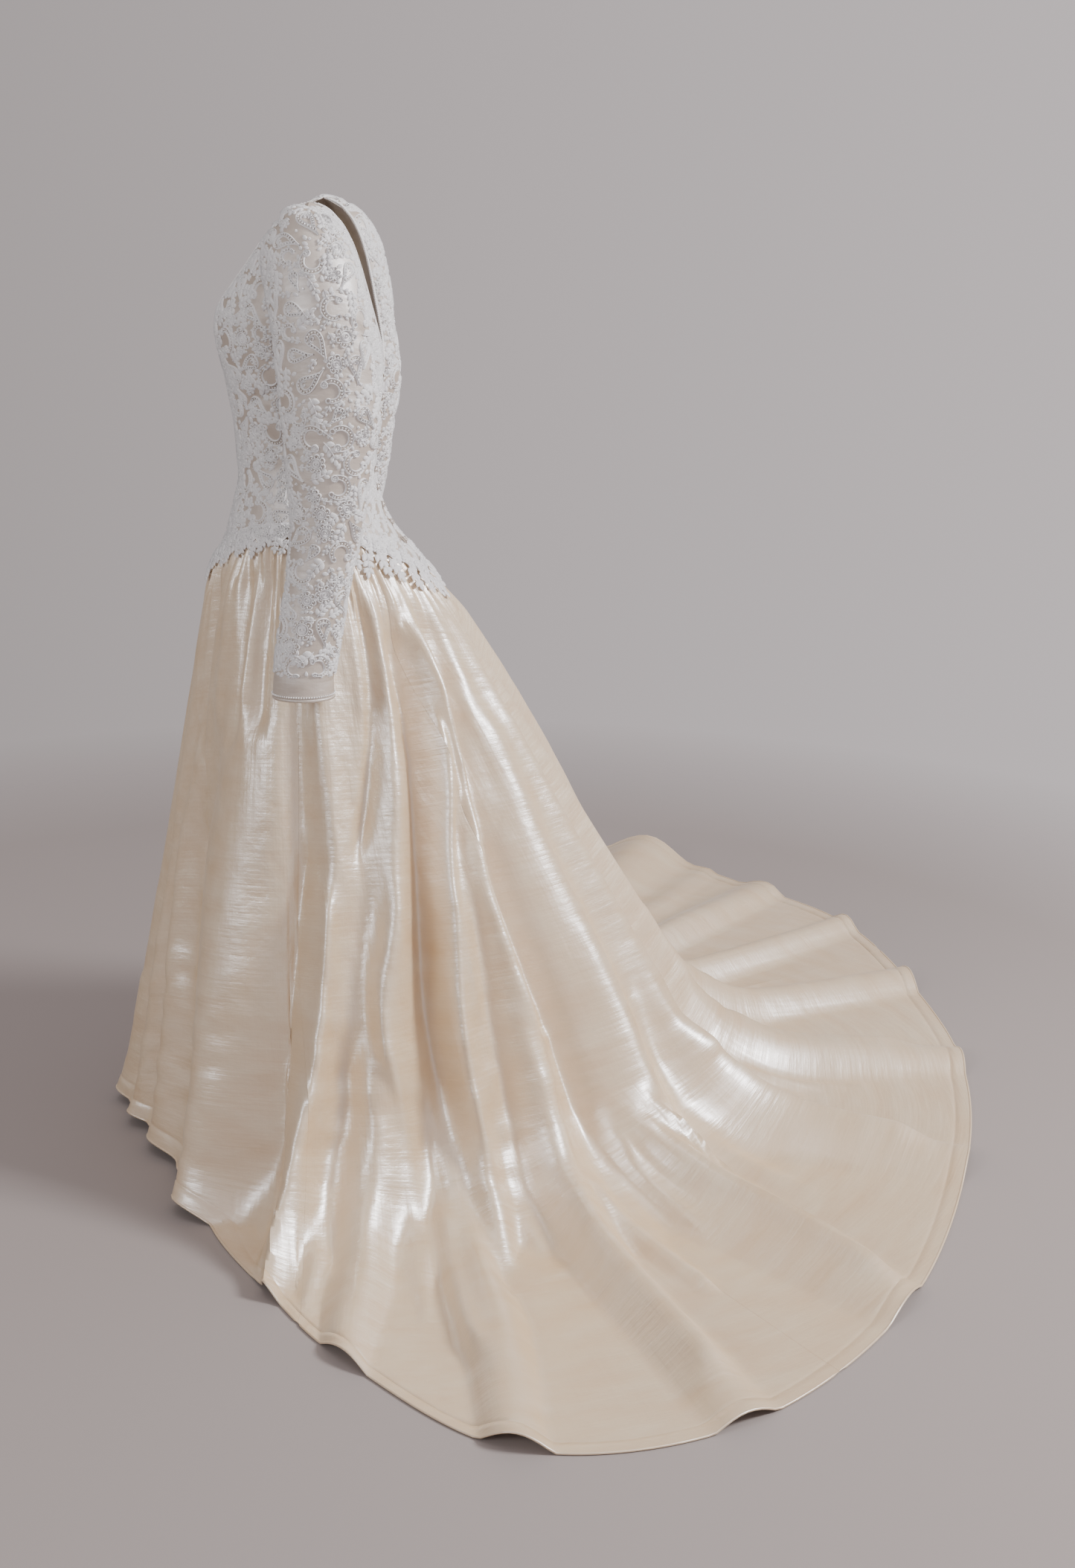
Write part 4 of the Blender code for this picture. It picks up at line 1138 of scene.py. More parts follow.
@dataclass
class Sleeves:
    """Both sleeves in two panels each, with their cuff bands and bindings."""

    rows: int = 85
    cloth: float = 0.0014
    cuff_band: float = 0.022
    cuff_points: int = 64
    panels: tuple[SleevePanel, ...] = (
        SleevePanel("sleeve_top", -0.2 * math.pi, 1.2 * math.pi, (0.33, 0.75), 0.155),
        SleevePanel("sleeve_under", 1.2 * math.pi, 1.8 * math.pi, (0.14, 0.58), 0.052),
    )
    form: SleeveForm = field(default_factory=SleeveForm)

    def build(self) -> list[bpy.types.Object]:
        """Make both sleeves."""
        # the sleeves take the bodice's darkened satin, its colour painted shade for the gaps between the lace
        # cords
        lined = bpy.data.materials["bodice_satin"]
        made = []
        for panel in self.panels:
            columns = int(round((panel.end - panel.start) / (2 * math.pi) * 64)) + 1
            turns, rows = np.linspace(panel.start, panel.end, columns), np.linspace(0, 16, self.rows)
            turn, row = np.meshgrid(turns, rows)
            points = self.form.at(turn, row)
            inner = points - self.form.ways(turn, np.clip(row, 0.1, 15.9))[2] * self.cloth
            step = np.linalg.norm(np.diff(points, axis=0), axis=-1).mean(axis=1)
            down = np.concatenate([[0], np.cumsum(step)])[:, None] + 0 * turn
            coords = np.stack([turn * 0.055, -down], axis=-1)
            for side in Side:
                name = f"{panel.name}_{side.word}"
                walls = (mirror(points, side), mirror(inner, side))
                obj = cloth_piece(name + "_cloth", walls, coords, lined, name)
                made.append(obj)
        for side in Side:
            made += self.cuff(side)
        return made

    def cuff(self, side: Side) -> list[bpy.types.Object]:
        """Make the plain band and the rolled binding below a sleeve."""
        turns = np.arange(self.cuff_points) * 2 * math.pi / self.cuff_points
        wrist, flat, ripple = self.form.wrist(self.cuff_points)
        made = []
        drop, out = np.linspace(0, 1, 13), np.linspace(0, 0.0012, 13)
        rows = [wrist + np.array([0, 0, -self.cuff_band * d]) + flat * (o + ripple * d)[:, None]
                for d, o in zip(drop, out)]
        coords = np.stack(np.meshgrid(turns * 0.04, -drop * self.cuff_band), axis=-1)
        points, normals = np.array(rows), np.array([flat] * len(rows))
        walls = (mirror(points, side), mirror(points - normals * self.cloth, side))
        name = f"cuff_band_{side.word}"
        satin = bpy.data.materials["bodice_satin"]
        obj = cloth_piece(name + "_cloth", walls, coords, satin, name, wrap=True)
        made.append(obj)
        angle = np.arange(12) * 2 * math.pi / 12
        foot = rows[-1] - flat * 0.0011
        roll = np.stack([foot + np.array([0, 0, -0.0026]) + flat * 0.0020 * math.cos(q)
                         + np.array([0, 0, 0.0026 * math.sin(q)]) for q in angle], axis=1)
        store = MeshStore()
        roll = np.concatenate([roll, roll[:1]])
        coords = np.stack(np.meshgrid(angle * 0.0023, np.arange(len(roll)) * 0.004), axis=-1)
        store.grid(mirror(roll, side), coords, wrap=True, flip=side is Side.RIGHT)
        obj = store.build(f"cuff_binding_{side.word}_roll", satin)
        finish_piece(obj, (f"cuff_binding_{side.word}",))
        made.append(obj)
        return made


@dataclass(frozen=True)
class Figure:
    """One lace figure, drawn flat in metres about its own middle."""

    cords: tuple[Array, ...] = ()
    leaves: tuple[tuple[float, float, float, float, float], ...] = ()
    patches: tuple[Array, ...] = ()
    beads: tuple[tuple[float, float, float], ...] = ()
    room: tuple[tuple[float, float, float], ...] = ((0.0, 0.0, 0.005),)


def arc(x: float, y: float, radius: float, start: float, stop: float, points: int) -> Array:
    """Points of an arc, its angles in turns, counted from the x axis."""
    angle = 2 * math.pi * np.linspace(start, stop, points)
    return np.stack([x + radius * np.cos(angle), y + radius * np.sin(angle)], axis=-1)


def line_reach(line: Array) -> Array:
    """Length along a line up to each of its points."""
    return np.concatenate([[0], np.cumsum(np.linalg.norm(np.diff(line, axis=0), axis=1))])


def read_line(line: Array, reach: Array, at: Array) -> Array:
    """Points of a line at given lengths along it."""
    return np.stack([np.interp(at, reach, values) for values in line.T], axis=-1)


def strung(line: Array, step: float, radius: float) -> Table:
    """Beads strung every step metres along a flat line."""
    reach = line_reach(line)
    middles = read_line(line, reach, np.arange(step / 2, reach[-1], step))
    return tuple((float(x), float(y), radius) for x, y in middles)


def rosette(radius: float) -> Figure:
    """Round flower: a spiral in a ring, beads round it and scalloped petals."""
    turns = np.linspace(0.1, 1.0, 14)
    angle = 2 * math.pi * 1.6 * turns
    spiral = np.stack([np.cos(angle), np.sin(angle)], axis=-1) * (0.50 * radius * turns)[:, None]
    ring = arc(0, 0, 0.62 * radius, 0, 1, 17)
    petals, count = [], 7
    for k in range(count):
        turn = k / count
        x, y = 0.80 * radius * math.cos(2 * math.pi * turn), 0.80 * radius * math.sin(2 * math.pi * turn)
        petals.append(arc(x, y, 0.30 * radius, turn - 0.30, turn + 0.30, 8))
    beads = strung(arc(0, 0, 0.80 * radius, 0, 1, 17), 0.0042, 0.0013)
    leaves = tuple(
        (0.98 * radius * math.cos(2 * math.pi * t), 0.98 * radius * math.sin(2 * math.pi * t), t,
         0.62 * radius, 0.26 * radius) for t in (0.07, 0.36, 0.64, 0.93)
    )
    return Figure((spiral, ring, *petals), leaves, (arc(0, 0, 0.50 * radius, 0, 1, 11)[:-1],),
                  beads + ((0.0, 0.0, 0.0015),), ((0, 0, 1.10 * radius),))


def paisley(length: float, bend: float = 0.35) -> Figure:
    """Teardrop with a hooked tip: two outlines, beads between, a spiral inside."""
    t = np.linspace(0, 1, 23)
    angle = 2 * math.pi * (t - 0.25)
    wide = 0.31 * length * np.sin(math.pi * t) ** 0.75
    x = wide * np.cos(angle) * 1.02
    y = 0.5 * length - length * np.sin(math.pi * t) ** 1.15
    x = x + bend * length * np.clip((y / length + 0.1), 0, 1) ** 1.6
    outline = np.stack([x, y], axis=-1)
    middle = outline.mean(axis=0) + np.array([0, -0.06 * length])
    inner = middle + (outline - middle) * 0.60
    between = middle + (outline - middle) * 0.81
    turns = np.linspace(0.1, 1.0, 10)
    spin = 2 * math.pi * 1.2 * turns
    spiral = middle + np.array([0, -0.12 * length])
    spiral = spiral + np.stack([np.cos(spin), np.sin(spin)], axis=-1) * (0.11 * length * turns)[:, None]
    room = ((0.0, -0.20 * length, 0.36 * length), (0.08 * length, 0.24 * length, 0.20 * length))
    return Figure((outline, inner, spiral), (), (), strung(between, 0.0044, 0.0013), room)


def scroll(radius: float) -> Figure:
    """C-shaped scroll of two cords with beads between, ending in a beaded ball."""
    outer = arc(0, 0, radius, 0.10, 0.80, 18)
    inner = arc(0.06 * radius, 0, 0.66 * radius, 0.12, 0.74, 13)
    ends = outer[-1] * 0.80 + np.array([0.02 * radius, 0])
    ball = arc(ends[0], ends[1], 0.27 * radius, 0, 1, 10)
    start = outer[0] * 0.86
    bud = arc(start[0], start[1], 0.20 * radius, 0, 1, 8)
    beads = strung(arc(0.03 * radius, 0, 0.83 * radius, 0.14, 0.70, 18), 0.0043, 0.0013)
    beads += tuple((ends[0] + 0.0017 * math.cos(k), ends[1] + 0.0017 * math.sin(k), 0.0011)
                   for k in (0, 2.1, 4.2))
    leaves = tuple(
        (1.02 * radius * math.cos(2 * math.pi * t), 1.02 * radius * math.sin(2 * math.pi * t), t + 0.10,
         0.42 * radius, 0.15 * radius) for t in (0.22, 0.34, 0.46, 0.58, 0.68)
    )
    return Figure((outer, inner, ball, bud), leaves, (ball[:-1],), beads, ((0, 0, 1.12 * radius),))


def spray(length: float, pairs: int, bend: float) -> Figure:
    """Curved stem with pairs of pointed leaves and one at its tip."""
    t = np.linspace(0, 1, 6)
    x, y = bend * length * t**2, length * (t - 0.5) * 0.82
    stem = np.stack([x, y], axis=-1)
    leaves = []
    for k in range(pairs):
        at = (k + 0.35) / pairs
        px, py = bend * length * at**2, length * (at - 0.5) * 0.82
        lean = math.atan2(0.82, 2 * bend * at) / (2 * math.pi)
        size = length * (0.40 - 0.10 * at)
        for way in (-1, 1):
            leaves.append((px, py, lean + way * 0.115, size, 0.30 * size))
    tip = math.atan2(0.82, 2 * bend) / (2 * math.pi)
    leaves.append((x[-1] * 0.9, y[-1] * 0.86, tip, 0.34 * length, 0.10 * length))
    room = tuple((bend * length * q**2, length * (q - 0.5) * 0.85, 0.27 * length) for q in (0.22, 0.62))
    return Figure((stem,), tuple(leaves), (), (), room)


def leaf(length: float) -> Figure:
    """A single pointed leaf."""
    return Figure((), ((0.0, -0.5 * length, 0.25, length, 0.30 * length),), (), (), ((0, 0, 0.36 * length),))


def bead(radius: float) -> Figure:
    """A single bead in a ring of thread."""
    ring = arc(0, 0, 1.7 * radius, 0, 1, 7)[:-1]
    return Figure((), (), (ring,), ((0.0, 0.0, radius),), ((0, 0, 2.0 * radius),))


ROUND = arc(0, 0, 1, 0, 1, 9)[:-1]


@dataclass(frozen=True)
class Seat:
    """A place on a form with flat axes there."""

    a: float
    b: float
    point: Array
    across: Array
    along: Array
    move_a: Array
    move_b: Array


def seats(form: Form, a: Array, b: Array) -> list[Seat]:
    """Seats on a form at many places at once."""
    move_a, move_b, out = form.ways(a, b)
    along = unit(move_b)
    across = unit(np.cross(along, out))
    point = form.at(a, b)
    return [Seat(*values) for values in zip(a, b, point, across, along, move_a, move_b)]


@dataclass(frozen=True)
class Placed:
    """A figure set on a seat, turned and perhaps flipped."""

    figure: Figure
    seat: Seat
    turn: float = 0.0
    flip: bool = False

    def laid(self, points: Array) -> Array:
        """Turn and flip flat points."""
        x = -points[:, 0] if self.flip else points[:, 0]
        angle = 2 * math.pi * self.turn
        c, s = math.cos(angle), math.sin(angle)
        return np.stack([c * x - s * points[:, 1], s * x + c * points[:, 1]], axis=-1)

    def to_form(self, flat: Array) -> tuple[Array, Array]:
        """Coordinates on the form of flat points of the figure."""
        xy, seat = self.laid(flat), self.seat
        da = xy[:, 0] / seat.move_a.dot(seat.across)
        db = (xy[:, 1] - seat.move_a.dot(seat.along) * da) / seat.move_b.dot(seat.along)
        return seat.a + da, seat.b + db

    def rooms(self) -> Array:
        """Middles and radii of the rounds that the figure takes up."""
        rounds = np.array(self.figure.room)
        xy = self.laid(rounds[:, :2])
        middle = self.seat.point + xy[:, :1] * self.seat.across + xy[:, 1:] * self.seat.along
        return np.concatenate([middle, rounds[:, 2:]], axis=1)


class LaceWork:
    """Lace on a form: raised cords, leaves, patches and beads that follow it."""

    cord: float = 0.0011
    leaf_rise: float = 0.0026

    def __init__(self, form: Form) -> None:
        """Start with no figures.

        Args:
            form: the surface that the lace lies on.
        """
        self.form = form
        self.thread: list[tuple[Array, Array, Array]] = []
        self.pearls: list[tuple[float, float, float, float]] = []
        self.taken = np.zeros((9000, 4))
        self.count = 0

    def fits(self, placed: Placed, closeness: float) -> bool:
        """Whether a figure lies on the form and clear of the ones already there."""
        rooms = placed.rooms()
        taken = self.taken[: self.count]
        for room in rooms:
            gap = taken[:, :3] - room[:3]
            reach = closeness * (taken[:, 3] + room[3])
            if ((gap * gap).sum(axis=1) < reach * reach).any():
                return False
        ring = np.concatenate([r[2] * 0.92 * ROUND + r[:2] for r in np.array(placed.figure.room)])
        return bool(self.form.inside(*placed.to_form(ring)).all())

    def place(self, placed: Placed) -> None:
        """Work a figure's cords, leaves, patches and beads."""
        figure = placed.figure
        rooms = placed.rooms()
        self.taken[self.count : self.count + len(rooms)] = rooms
        self.count += len(rooms)
        for patch in figure.patches:
            self.add_patch(placed, patch)
        for line in figure.cords:
            self.add_cord(placed, line)
        for x, y, turn, length, half in figure.leaves:
            self.add_leaf(placed, x, y, turn, length, half)
        if figure.beads:
            flat = np.array(figure.beads)
            a, b = placed.to_form(flat[:, :2])
            self.pearls += zip(a, b, 0.0009 + flat[:, 2] * 0.9, flat[:, 2])

    def lift(self, placed: Placed, flat: Array, heights: Array, faces: Array) -> None:
        """Keep a piece of threadwork until all of it is raised on the form."""
        a, b = placed.to_form(flat)
        self.thread.append((np.stack([a, b, heights], axis=-1), faces, flat))

    def add_cord(self, placed: Placed, line: Array) -> None:
        """Raise a cord of three sides along a line."""
        way = unit(np.gradient(line, axis=0))
        side = np.stack([-way[:, 1], way[:, 0]], axis=-1)
        closed = np.linalg.norm(line[0] - line[-1]) < 1e-6
        thick = np.full(len(line), self.cord)
        if not closed:
            thick[[0, -1]] *= 0.35
        flat = np.stack([line - side * thick[:, None], line, line + side * thick[:, None]], axis=1)
        heights = np.stack([0 * thick, 0.0008 + 2.5 * thick, 0 * thick], axis=1)
        faces = grid_faces(len(line), 3)
        self.lift(placed, flat.reshape(-1, 2), heights.ravel(), faces)

    def add_patch(self, placed: Placed, ring: Array) -> None:
        """Raise a low worked ground inside an outline."""
        flat = np.concatenate([ring.mean(axis=0)[None], ring])
        count = len(ring)
        k = np.arange(count)
        faces = np.stack([0 * k, 1 + k, 1 + (k + 1) % count], axis=-1)
        heights = np.concatenate([[0.0009], np.full(count, 0.0004)])
        self.lift(placed, flat, heights, faces)

    def add_leaf(self, placed: Placed, x: float, y: float, turn: float, length: float, half: float) -> None:
        """Raise a pointed leaf with a groove down its middle."""
        across = np.array([-1.0, -0.55, 0.0, 0.55, 1.0])
        rise = np.array([0.0, 1.0, 0.45, 1.0, 0.0]) * self.leaf_rise
        flat, heights = [(0.0, 0.0)], [0.0003]
        for t, wide in ((0.28, 0.82), (0.58, 1.0), (0.84, 0.55)):
            flat += [(half * wide * q, length * t) for q in across]
            heights += list(rise * (0.75 + 0.25 * wide))
        flat.append((0.0, length))
        heights.append(0.0003)
        points = np.array(flat)
        angle = 2 * math.pi * (turn - 0.25)
        c, s = math.cos(angle), math.sin(angle)
        points = np.stack([c * points[:, 0] - s * points[:, 1], s * points[:, 0] + c * points[:, 1]], axis=-1)
        points = points + np.array([x, y])
        k = np.arange(4)
        low = np.stack([0 * k, 2 + k, 1 + k], axis=-1)
        high = np.stack([0 * k + 16, 11 + k, 12 + k], axis=-1)
        middle = grid_faces(3, 5) + 1
        faces = np.concatenate([low, high, middle[:, [0, 1, 2]], middle[:, [0, 2, 3]]])
        self.lift(placed, points, np.array(heights), faces)

    def scatter(self, figures: list[Figure], area: tuple[float, float, float, float], tries: int,
                seed: int, closeness: float, flow: float = 0.0) -> None:
        """Fill what room is left with figures, in the order that they are given.

        Args:
            figures: the figures to use, in turn.
            area: lowest and highest first and second coordinates.
            tries: how many places to try.
            seed: keeps the layout the same on every run.
            closeness: 1 keeps the figures' rounds apart, less lets them overlap.
            flow: the way that they lean, in turns.
        """
        chance = np.random.default_rng(seed)
        low_a, high_a, low_b, high_b = area
        a, b = chance.uniform(low_a, high_a, tries), chance.uniform(low_b, high_b, tries)
        lean = 0.5 * wander(a / (high_a - low_a) * 6, b / (high_b - low_b) * 8, seed)
        turn = flow + lean + chance.uniform(-0.08, 0.08, tries)
        flip = chance.random(tries) < 0.5
        for k, seat in enumerate(seats(self.form, a, b)):
            placed = Placed(figures[k % len(figures)], seat, turn[k], flip[k])
            if self.fits(placed, closeness):
                self.place(placed)

    def build(self, name: str, slot: str, thread: bpy.types.Material, pearl: bpy.types.Material,
              flip: bool = False) -> list[bpy.types.Object]:
        """Raise everything on the form and make the threadwork and the beads.

        Args:
            name: start of the pieces' names.
            slot: the record's material slot; not used.
            thread: finish of the threadwork.
            pearl: finish of the beads.
            flip: makes it for the wearer's right.

        Returns:
            The pieces.
        """
        turned = FLIP if flip else np.ones(3)
        local = np.concatenate([block[0] for block in self.thread])
        points = self.form.at(local[:, 0], local[:, 1])
        out = self.form.ways(local[:, 0], local[:, 1])[2]
        points = (points + out * local[:, 2:]) * turned
        store, start = MeshStore(), 0
        for block, faces, flat in self.thread:
            stop = start + len(block)
            store.add(points[start:stop], faces[:, ::-1] if flip else faces, flat)
            start = stop
        made = [store.build(f"{name}_lace", thread)]
        if self.pearls:
            rows = np.array(self.pearls)
            middles = self.form.at(rows[:, 0], rows[:, 1])
            middles = middles + self.form.ways(rows[:, 0], rows[:, 1])[2] * rows[:, 2:3]
            made.append(string_beads(f"{name}_beads", middles * turned, rows[:, 3], pearl))
        for obj in made:
            finish_piece(obj)
        return made


def string_beads(name: str, middles: Array, radii: Array, material: bpy.types.Material) -> bpy.types.Object:
    """Make beads at given middles as one piece."""
    bm = bmesh.new()
    bmesh.ops.create_icosphere(bm, subdivisions=1, radius=1.0)
    ball = np.array([v.co[:] for v in bm.verts])
    faces = np.array([[v.index for v in f.verts] for f in bm.faces])
    bm.free()
    points = middles[:, None] + ball[None] * radii[:, None, None]
    store = MeshStore()
    every = (faces[None] + (np.arange(len(middles)) * len(ball))[:, None, None]).reshape(-1, 3)
    store.add(points.reshape(-1, 3), every)
    return store.build(name, material)


@dataclass(frozen=True)
class LaceField:
    """A stretch of lace on the left side: where it lies and its figures' sizes."""

    name: str
    form: Form
    area: tuple[float, float, float, float]
    flowers: tuple[float, float]
    tears: tuple[float, ...]
    curl: float
    small_tear: float
    seed: int
    amount: float
    curl_pairs: Table = ()

    def work(self) -> LaceWork:
        """Lay the large figures first, then what fills the ground between them."""
        work = LaceWork(self.form)
        for turn, row, radius, spread in self.curl_pairs:
            for way in (-1, 1):
                place = np.array([math.pi * turn + way * spread])
                seat = seats(self.form, place, np.array([row]))[0]
                work.place(Placed(scroll(radius), seat, 0.5, way > 0))
        flower, last_flower = (rosette(radius) for radius in self.flowers)
        large = [flower, paisley(self.tears[0]), scroll(self.curl), last_flower]
        large += [paisley(tear, -0.3) for tear in self.tears[1:]]
        work.scatter(large, self.area, 900, self.seed + 1, 0.98)
        medium = [rosette(0.009), scroll(0.0115), paisley(self.small_tear)]
        work.scatter(medium, self.area, 900, self.seed + 2, 0.95)
        ground = (
            ([spray(0.034, 3, 0.22), spray(0.028, 3, -0.20), spray(0.031, 3, 0.12)], 1500, 0.74),
            ([spray(0.020, 2, 0.20), spray(0.018, 2, -0.15)], 2200, 0.76),
            ([leaf(0.010), leaf(0.008)], 1800, 0.9),
            ([bead(0.0014)], 900, 1.0),
        )
        for number, (figures, tries, closeness) in enumerate(ground):
            work.scatter(figures, self.area, int(tries * self.amount), self.seed + 11 + number, closeness)
        return work


@dataclass
class Lace:
    """The lace and beads of sleeves, front and backs, each worked left and mirrored right."""

    thread: bpy.types.Material
    pearl: bpy.types.Material
    fields: tuple[LaceField, ...] = (
        LaceField("sleeve", SleeveForm(), (-0.5 * math.pi, 1.5 * math.pi, 0.4, 15.7), (0.0135, 0.0115),
                  (0.044, 0.038), 0.0165, 0.027, 10, 0.85,
                  ((0.50, 8.85, 0.0175, 0.33), (0.54, 15.0, 0.0150, 0.33 * 1.25))),
        LaceField("front", BodiceForm(low=1.0, high=89.5), (1.0, 89.0, 0.92, 1.44), (0.0145, 0.012),
                  (0.046, 0.040), 0.018, 0.028, 30, 0.8),
        LaceField("back", BodiceForm(low=90.5, high=177.0), (90.5, 177.0, 0.90, 1.44), (0.0135, 0.0115),
                  (0.042,), 0.017, 0.028, 50, 0.8),
    )

    def build(self) -> list[bpy.types.Object]:
        """Work each field, then make it for both sides."""
        made = []
        for lace in self.fields:
            work = lace.work()
            for side in Side:
                made += work.build(f"{lace.name}_{side.word}", "lace_over_satin", self.thread, self.pearl,
                                   flip=side is Side.RIGHT)
        return made


def raise_tube(store: MeshStore, path: Array, radius: float, sides: int = 6, closed: bool = False) -> None:
    """Add a round cord along a path.

    Args:
        store: where it goes.
        path: points of its middle.
        radius: its radius.
        sides: flats round it.
        closed: the path joins its own start.
    """
    if closed:
        way = unit(np.roll(path, -1, axis=0) - np.roll(path, 1, axis=0))
    else:
        way = unit(np.gradient(path, axis=0))
    up = np.where(np.abs(way[:, 2:3]) > 0.9, np.array([[1.0, 0.0, 0.0]]), np.array([[0.0, 0.0, 1.0]]))
    first = unit(np.cross(way, up))
    second = np.cross(way, first)
    angle = np.arange(sides) * 2 * math.pi / sides
    round_way = first[:, None] * np.cos(angle)[:, None] + second[:, None] * np.sin(angle)[:, None]
    points = path[:, None] + round_way * radius
    if closed:
        points = np.concatenate([points, points[:1]])
    else:
        points[[0, -1]] = path[[0, -1], None]
    coords = np.stack(np.meshgrid(angle * radius, np.arange(len(points)) * 0.003), axis=-1)
    store.grid(points, coords, wrap=True, flip=True)


@dataclass
class NeckEdges:
    """Corded and beaded edges of the neckline and the open back."""

    thread: bpy.types.Material
    pearl: bpy.types.Material
    spacing: float = 0.0030
    bead: float = 0.00142

    def edge_line(self, edge: Table, low: float, high: float, inset: float, lift: float) -> Array:
        """Points along a panel's edge, set in from it and lifted off the cloth."""
        shares = np.linspace(low, high, 260)
        bearing, height = panel_point(edge, shares, np.ones(260))
        height = height - inset
        point = BodiceForm().at(bearing, height)
        line = point + torso_normal(bearing, height) * lift
        line[:, 0] = np.maximum(line[:, 0], 0.0 if edge is FRONT_EDGE else 0.0025)
        reach = line_reach(line)
        return read_line(line, reach, np.linspace(0, reach[-1], self.bead_count(high - low)))

    def bead_count(self, width: float) -> int:
        """Beads along a share of a panel's edge, which is 1.05 m long for a share of 1."""
        return int(round(1.05 * width / self.spacing))

    def build(self) -> list[bpy.types.Object]:
        """Make the front's edge in one piece and one for each back."""
        made = []
        front = [self.edge_line(FRONT_EDGE, 0.0, 0.458, inset, lift) for inset, lift in self.rows()]
        both = [np.concatenate([(line * FLIP)[:0:-1], line]) for line in front]
        made += self.edge("neck_front", both, "neck_trim_front")
        back = [self.edge_line(BACK_EDGE, 0.542, 1.0, inset, lift) for inset, lift in self.rows()]
        for side in Side:
            lines = [mirror(line, side) for line in back]
            made += self.edge(f"neck_back_{side.word}", lines, f"neck_trim_back_{side.word}")
        return made

    def rows(self) -> tuple[tuple[float, float], ...]:
        """Inset and lift of the edge cord, the bead row and the inner cord."""
        return ((0.0010, 0.0006), (0.0036, 0.0018), (0.0064, 0.0010))

    def edge(self, name: str, lines: list[Array], node: str) -> list[bpy.types.Object]:
        """Make one edge from its three lines."""
        store = MeshStore()
        raise_tube(store, lines[0], 0.0013)
        raise_tube(store, lines[2], 0.0010)
        picots = lines[0] + unit(lines[0] - lines[1]) * 0.0022
        cord = store.build(name + "_cord", self.thread)
        finish_piece(cord, (node,))
        beads = np.concatenate([lines[1], picots[::2]])
        radii = np.concatenate([np.full(len(lines[1]), self.bead), np.full(len(picots[::2]), 0.0011)])
        row = string_beads(name + "_beads", beads, radii, self.pearl)
        finish_piece(row)
        return [cord, row]


@dataclass
class SeamForm(Form):
    """Both sides of the basque seam, by bearing and metres above the seam."""

    nudge: tuple[float, float] = (0.4, 0.0015)
    lift: float = 0.0016

    def at(self, a: Array, b: Array) -> Array:
        """Points on the bodice above the seam and over the skirt's gathers below."""
        dense = np.linspace(-3, len(FOLDS) + 3, 900)
        place = np.interp(np.mod(a + 9, 360) - 9, fold_values(dense)[0], dense)
        foot = ridge_surface(place, np.full(place.shape, 0.02))[1] / 0.02
        below = ridge_surface(place, np.clip(-b, 0, None) / foot)[0]
        seam = seam_height(a)
        above = torso(a, seam + np.clip(b, 0, None))
        point = np.where((b >= 0)[..., None], above, below)
        return point + torso_normal(a, seam) * self.lift

    def inside(self, a: Array, b: Array) -> Array:
        """Whether places are near the seam."""
        return (b > -0.03) & (b < 0.02)


@dataclass
class BasqueEdge:
    """Scalloped lace over the basque seam, with leaves and flowers below it."""

    thread: bpy.types.Material
    pearl: bpy.types.Material
    count: int = 44
    points: int = 352

    def build(self) -> list[bpy.types.Object]:
        """Make the band and the figures on it."""
        form = SeamForm()
        number = np.arange(self.points)
        bearing = number * 360 / self.points - 180
        scallop = np.abs(np.sin(math.pi * number / 8))
        rows = [np.full(self.points, height) for height in (0.012, 0.006, 0.0)]
        rows += [-0.004 - 0.003 * scallop, -0.007 - 0.006 * scallop]
        level = np.array(rows)
        turn = np.broadcast_to(bearing, level.shape)
        points = form.at(turn, level) - torso_normal(turn, seam_height(turn)) * 0.0004
        inner = points - torso_normal(turn, seam_height(turn)) * 0.0007
        coords = np.stack([turn * 0.0026, level], axis=-1)
        band = cloth_piece("basque_band", (points, inner), coords, self.thread,
                           "basque_lace", wrap=True)
        work = LaceWork(form)
        self.figures(work)
        return [band] + work.build("basque_edge", "lace_over_satin", self.thread, self.pearl)

    def behind(self, bearing: Array) -> Array:
        """Ease from 0 at the sides to 1 at the back, where the lace hangs lower."""
        return smoothstep((np.abs(bearing) - 100) / 30)

    def figures(self, work: LaceWork) -> None:
        """Lay flowers on the seam and sprays that point down over the skirt."""
        step = 360 / self.count
        bearings = np.arange(self.count) * step - 180 + step / 2
        chance = np.random.default_rng(71)
        for k, seat in enumerate(seats(work.form, bearings, np.full(self.count, 0.001))):
            if k % 2:
                flower = rosette(0.0082 + 0.002 * self.behind(bearings[k]))
                work.place(Placed(flower, seat, chance.uniform(0, 1)))
            else:
                work.place(Placed(scroll(0.0090), seat, 0.25 + chance.uniform(-0.1, 0.1), k % 4 == 0))
        low = bearings + step / 2
        third = np.arange(self.count) % 3 == 1
        depth = -0.014 - 0.012 * self.behind(low) - 0.005 * third
        for k, seat in enumerate(seats(work.form, low, depth)):
            length = 0.026 + 0.014 * float(self.behind(low[k]))
            work.place(Placed(spray(length, 3, 0.12), seat, 0.5 + chance.uniform(-0.06, 0.06), k % 2 == 0))
        for k, seat in enumerate(seats(work.form, bearings, np.full(self.count, -0.015))):
            work.place(Placed(leaf(0.013), seat, 0.5 + chance.uniform(-0.05, 0.05)))


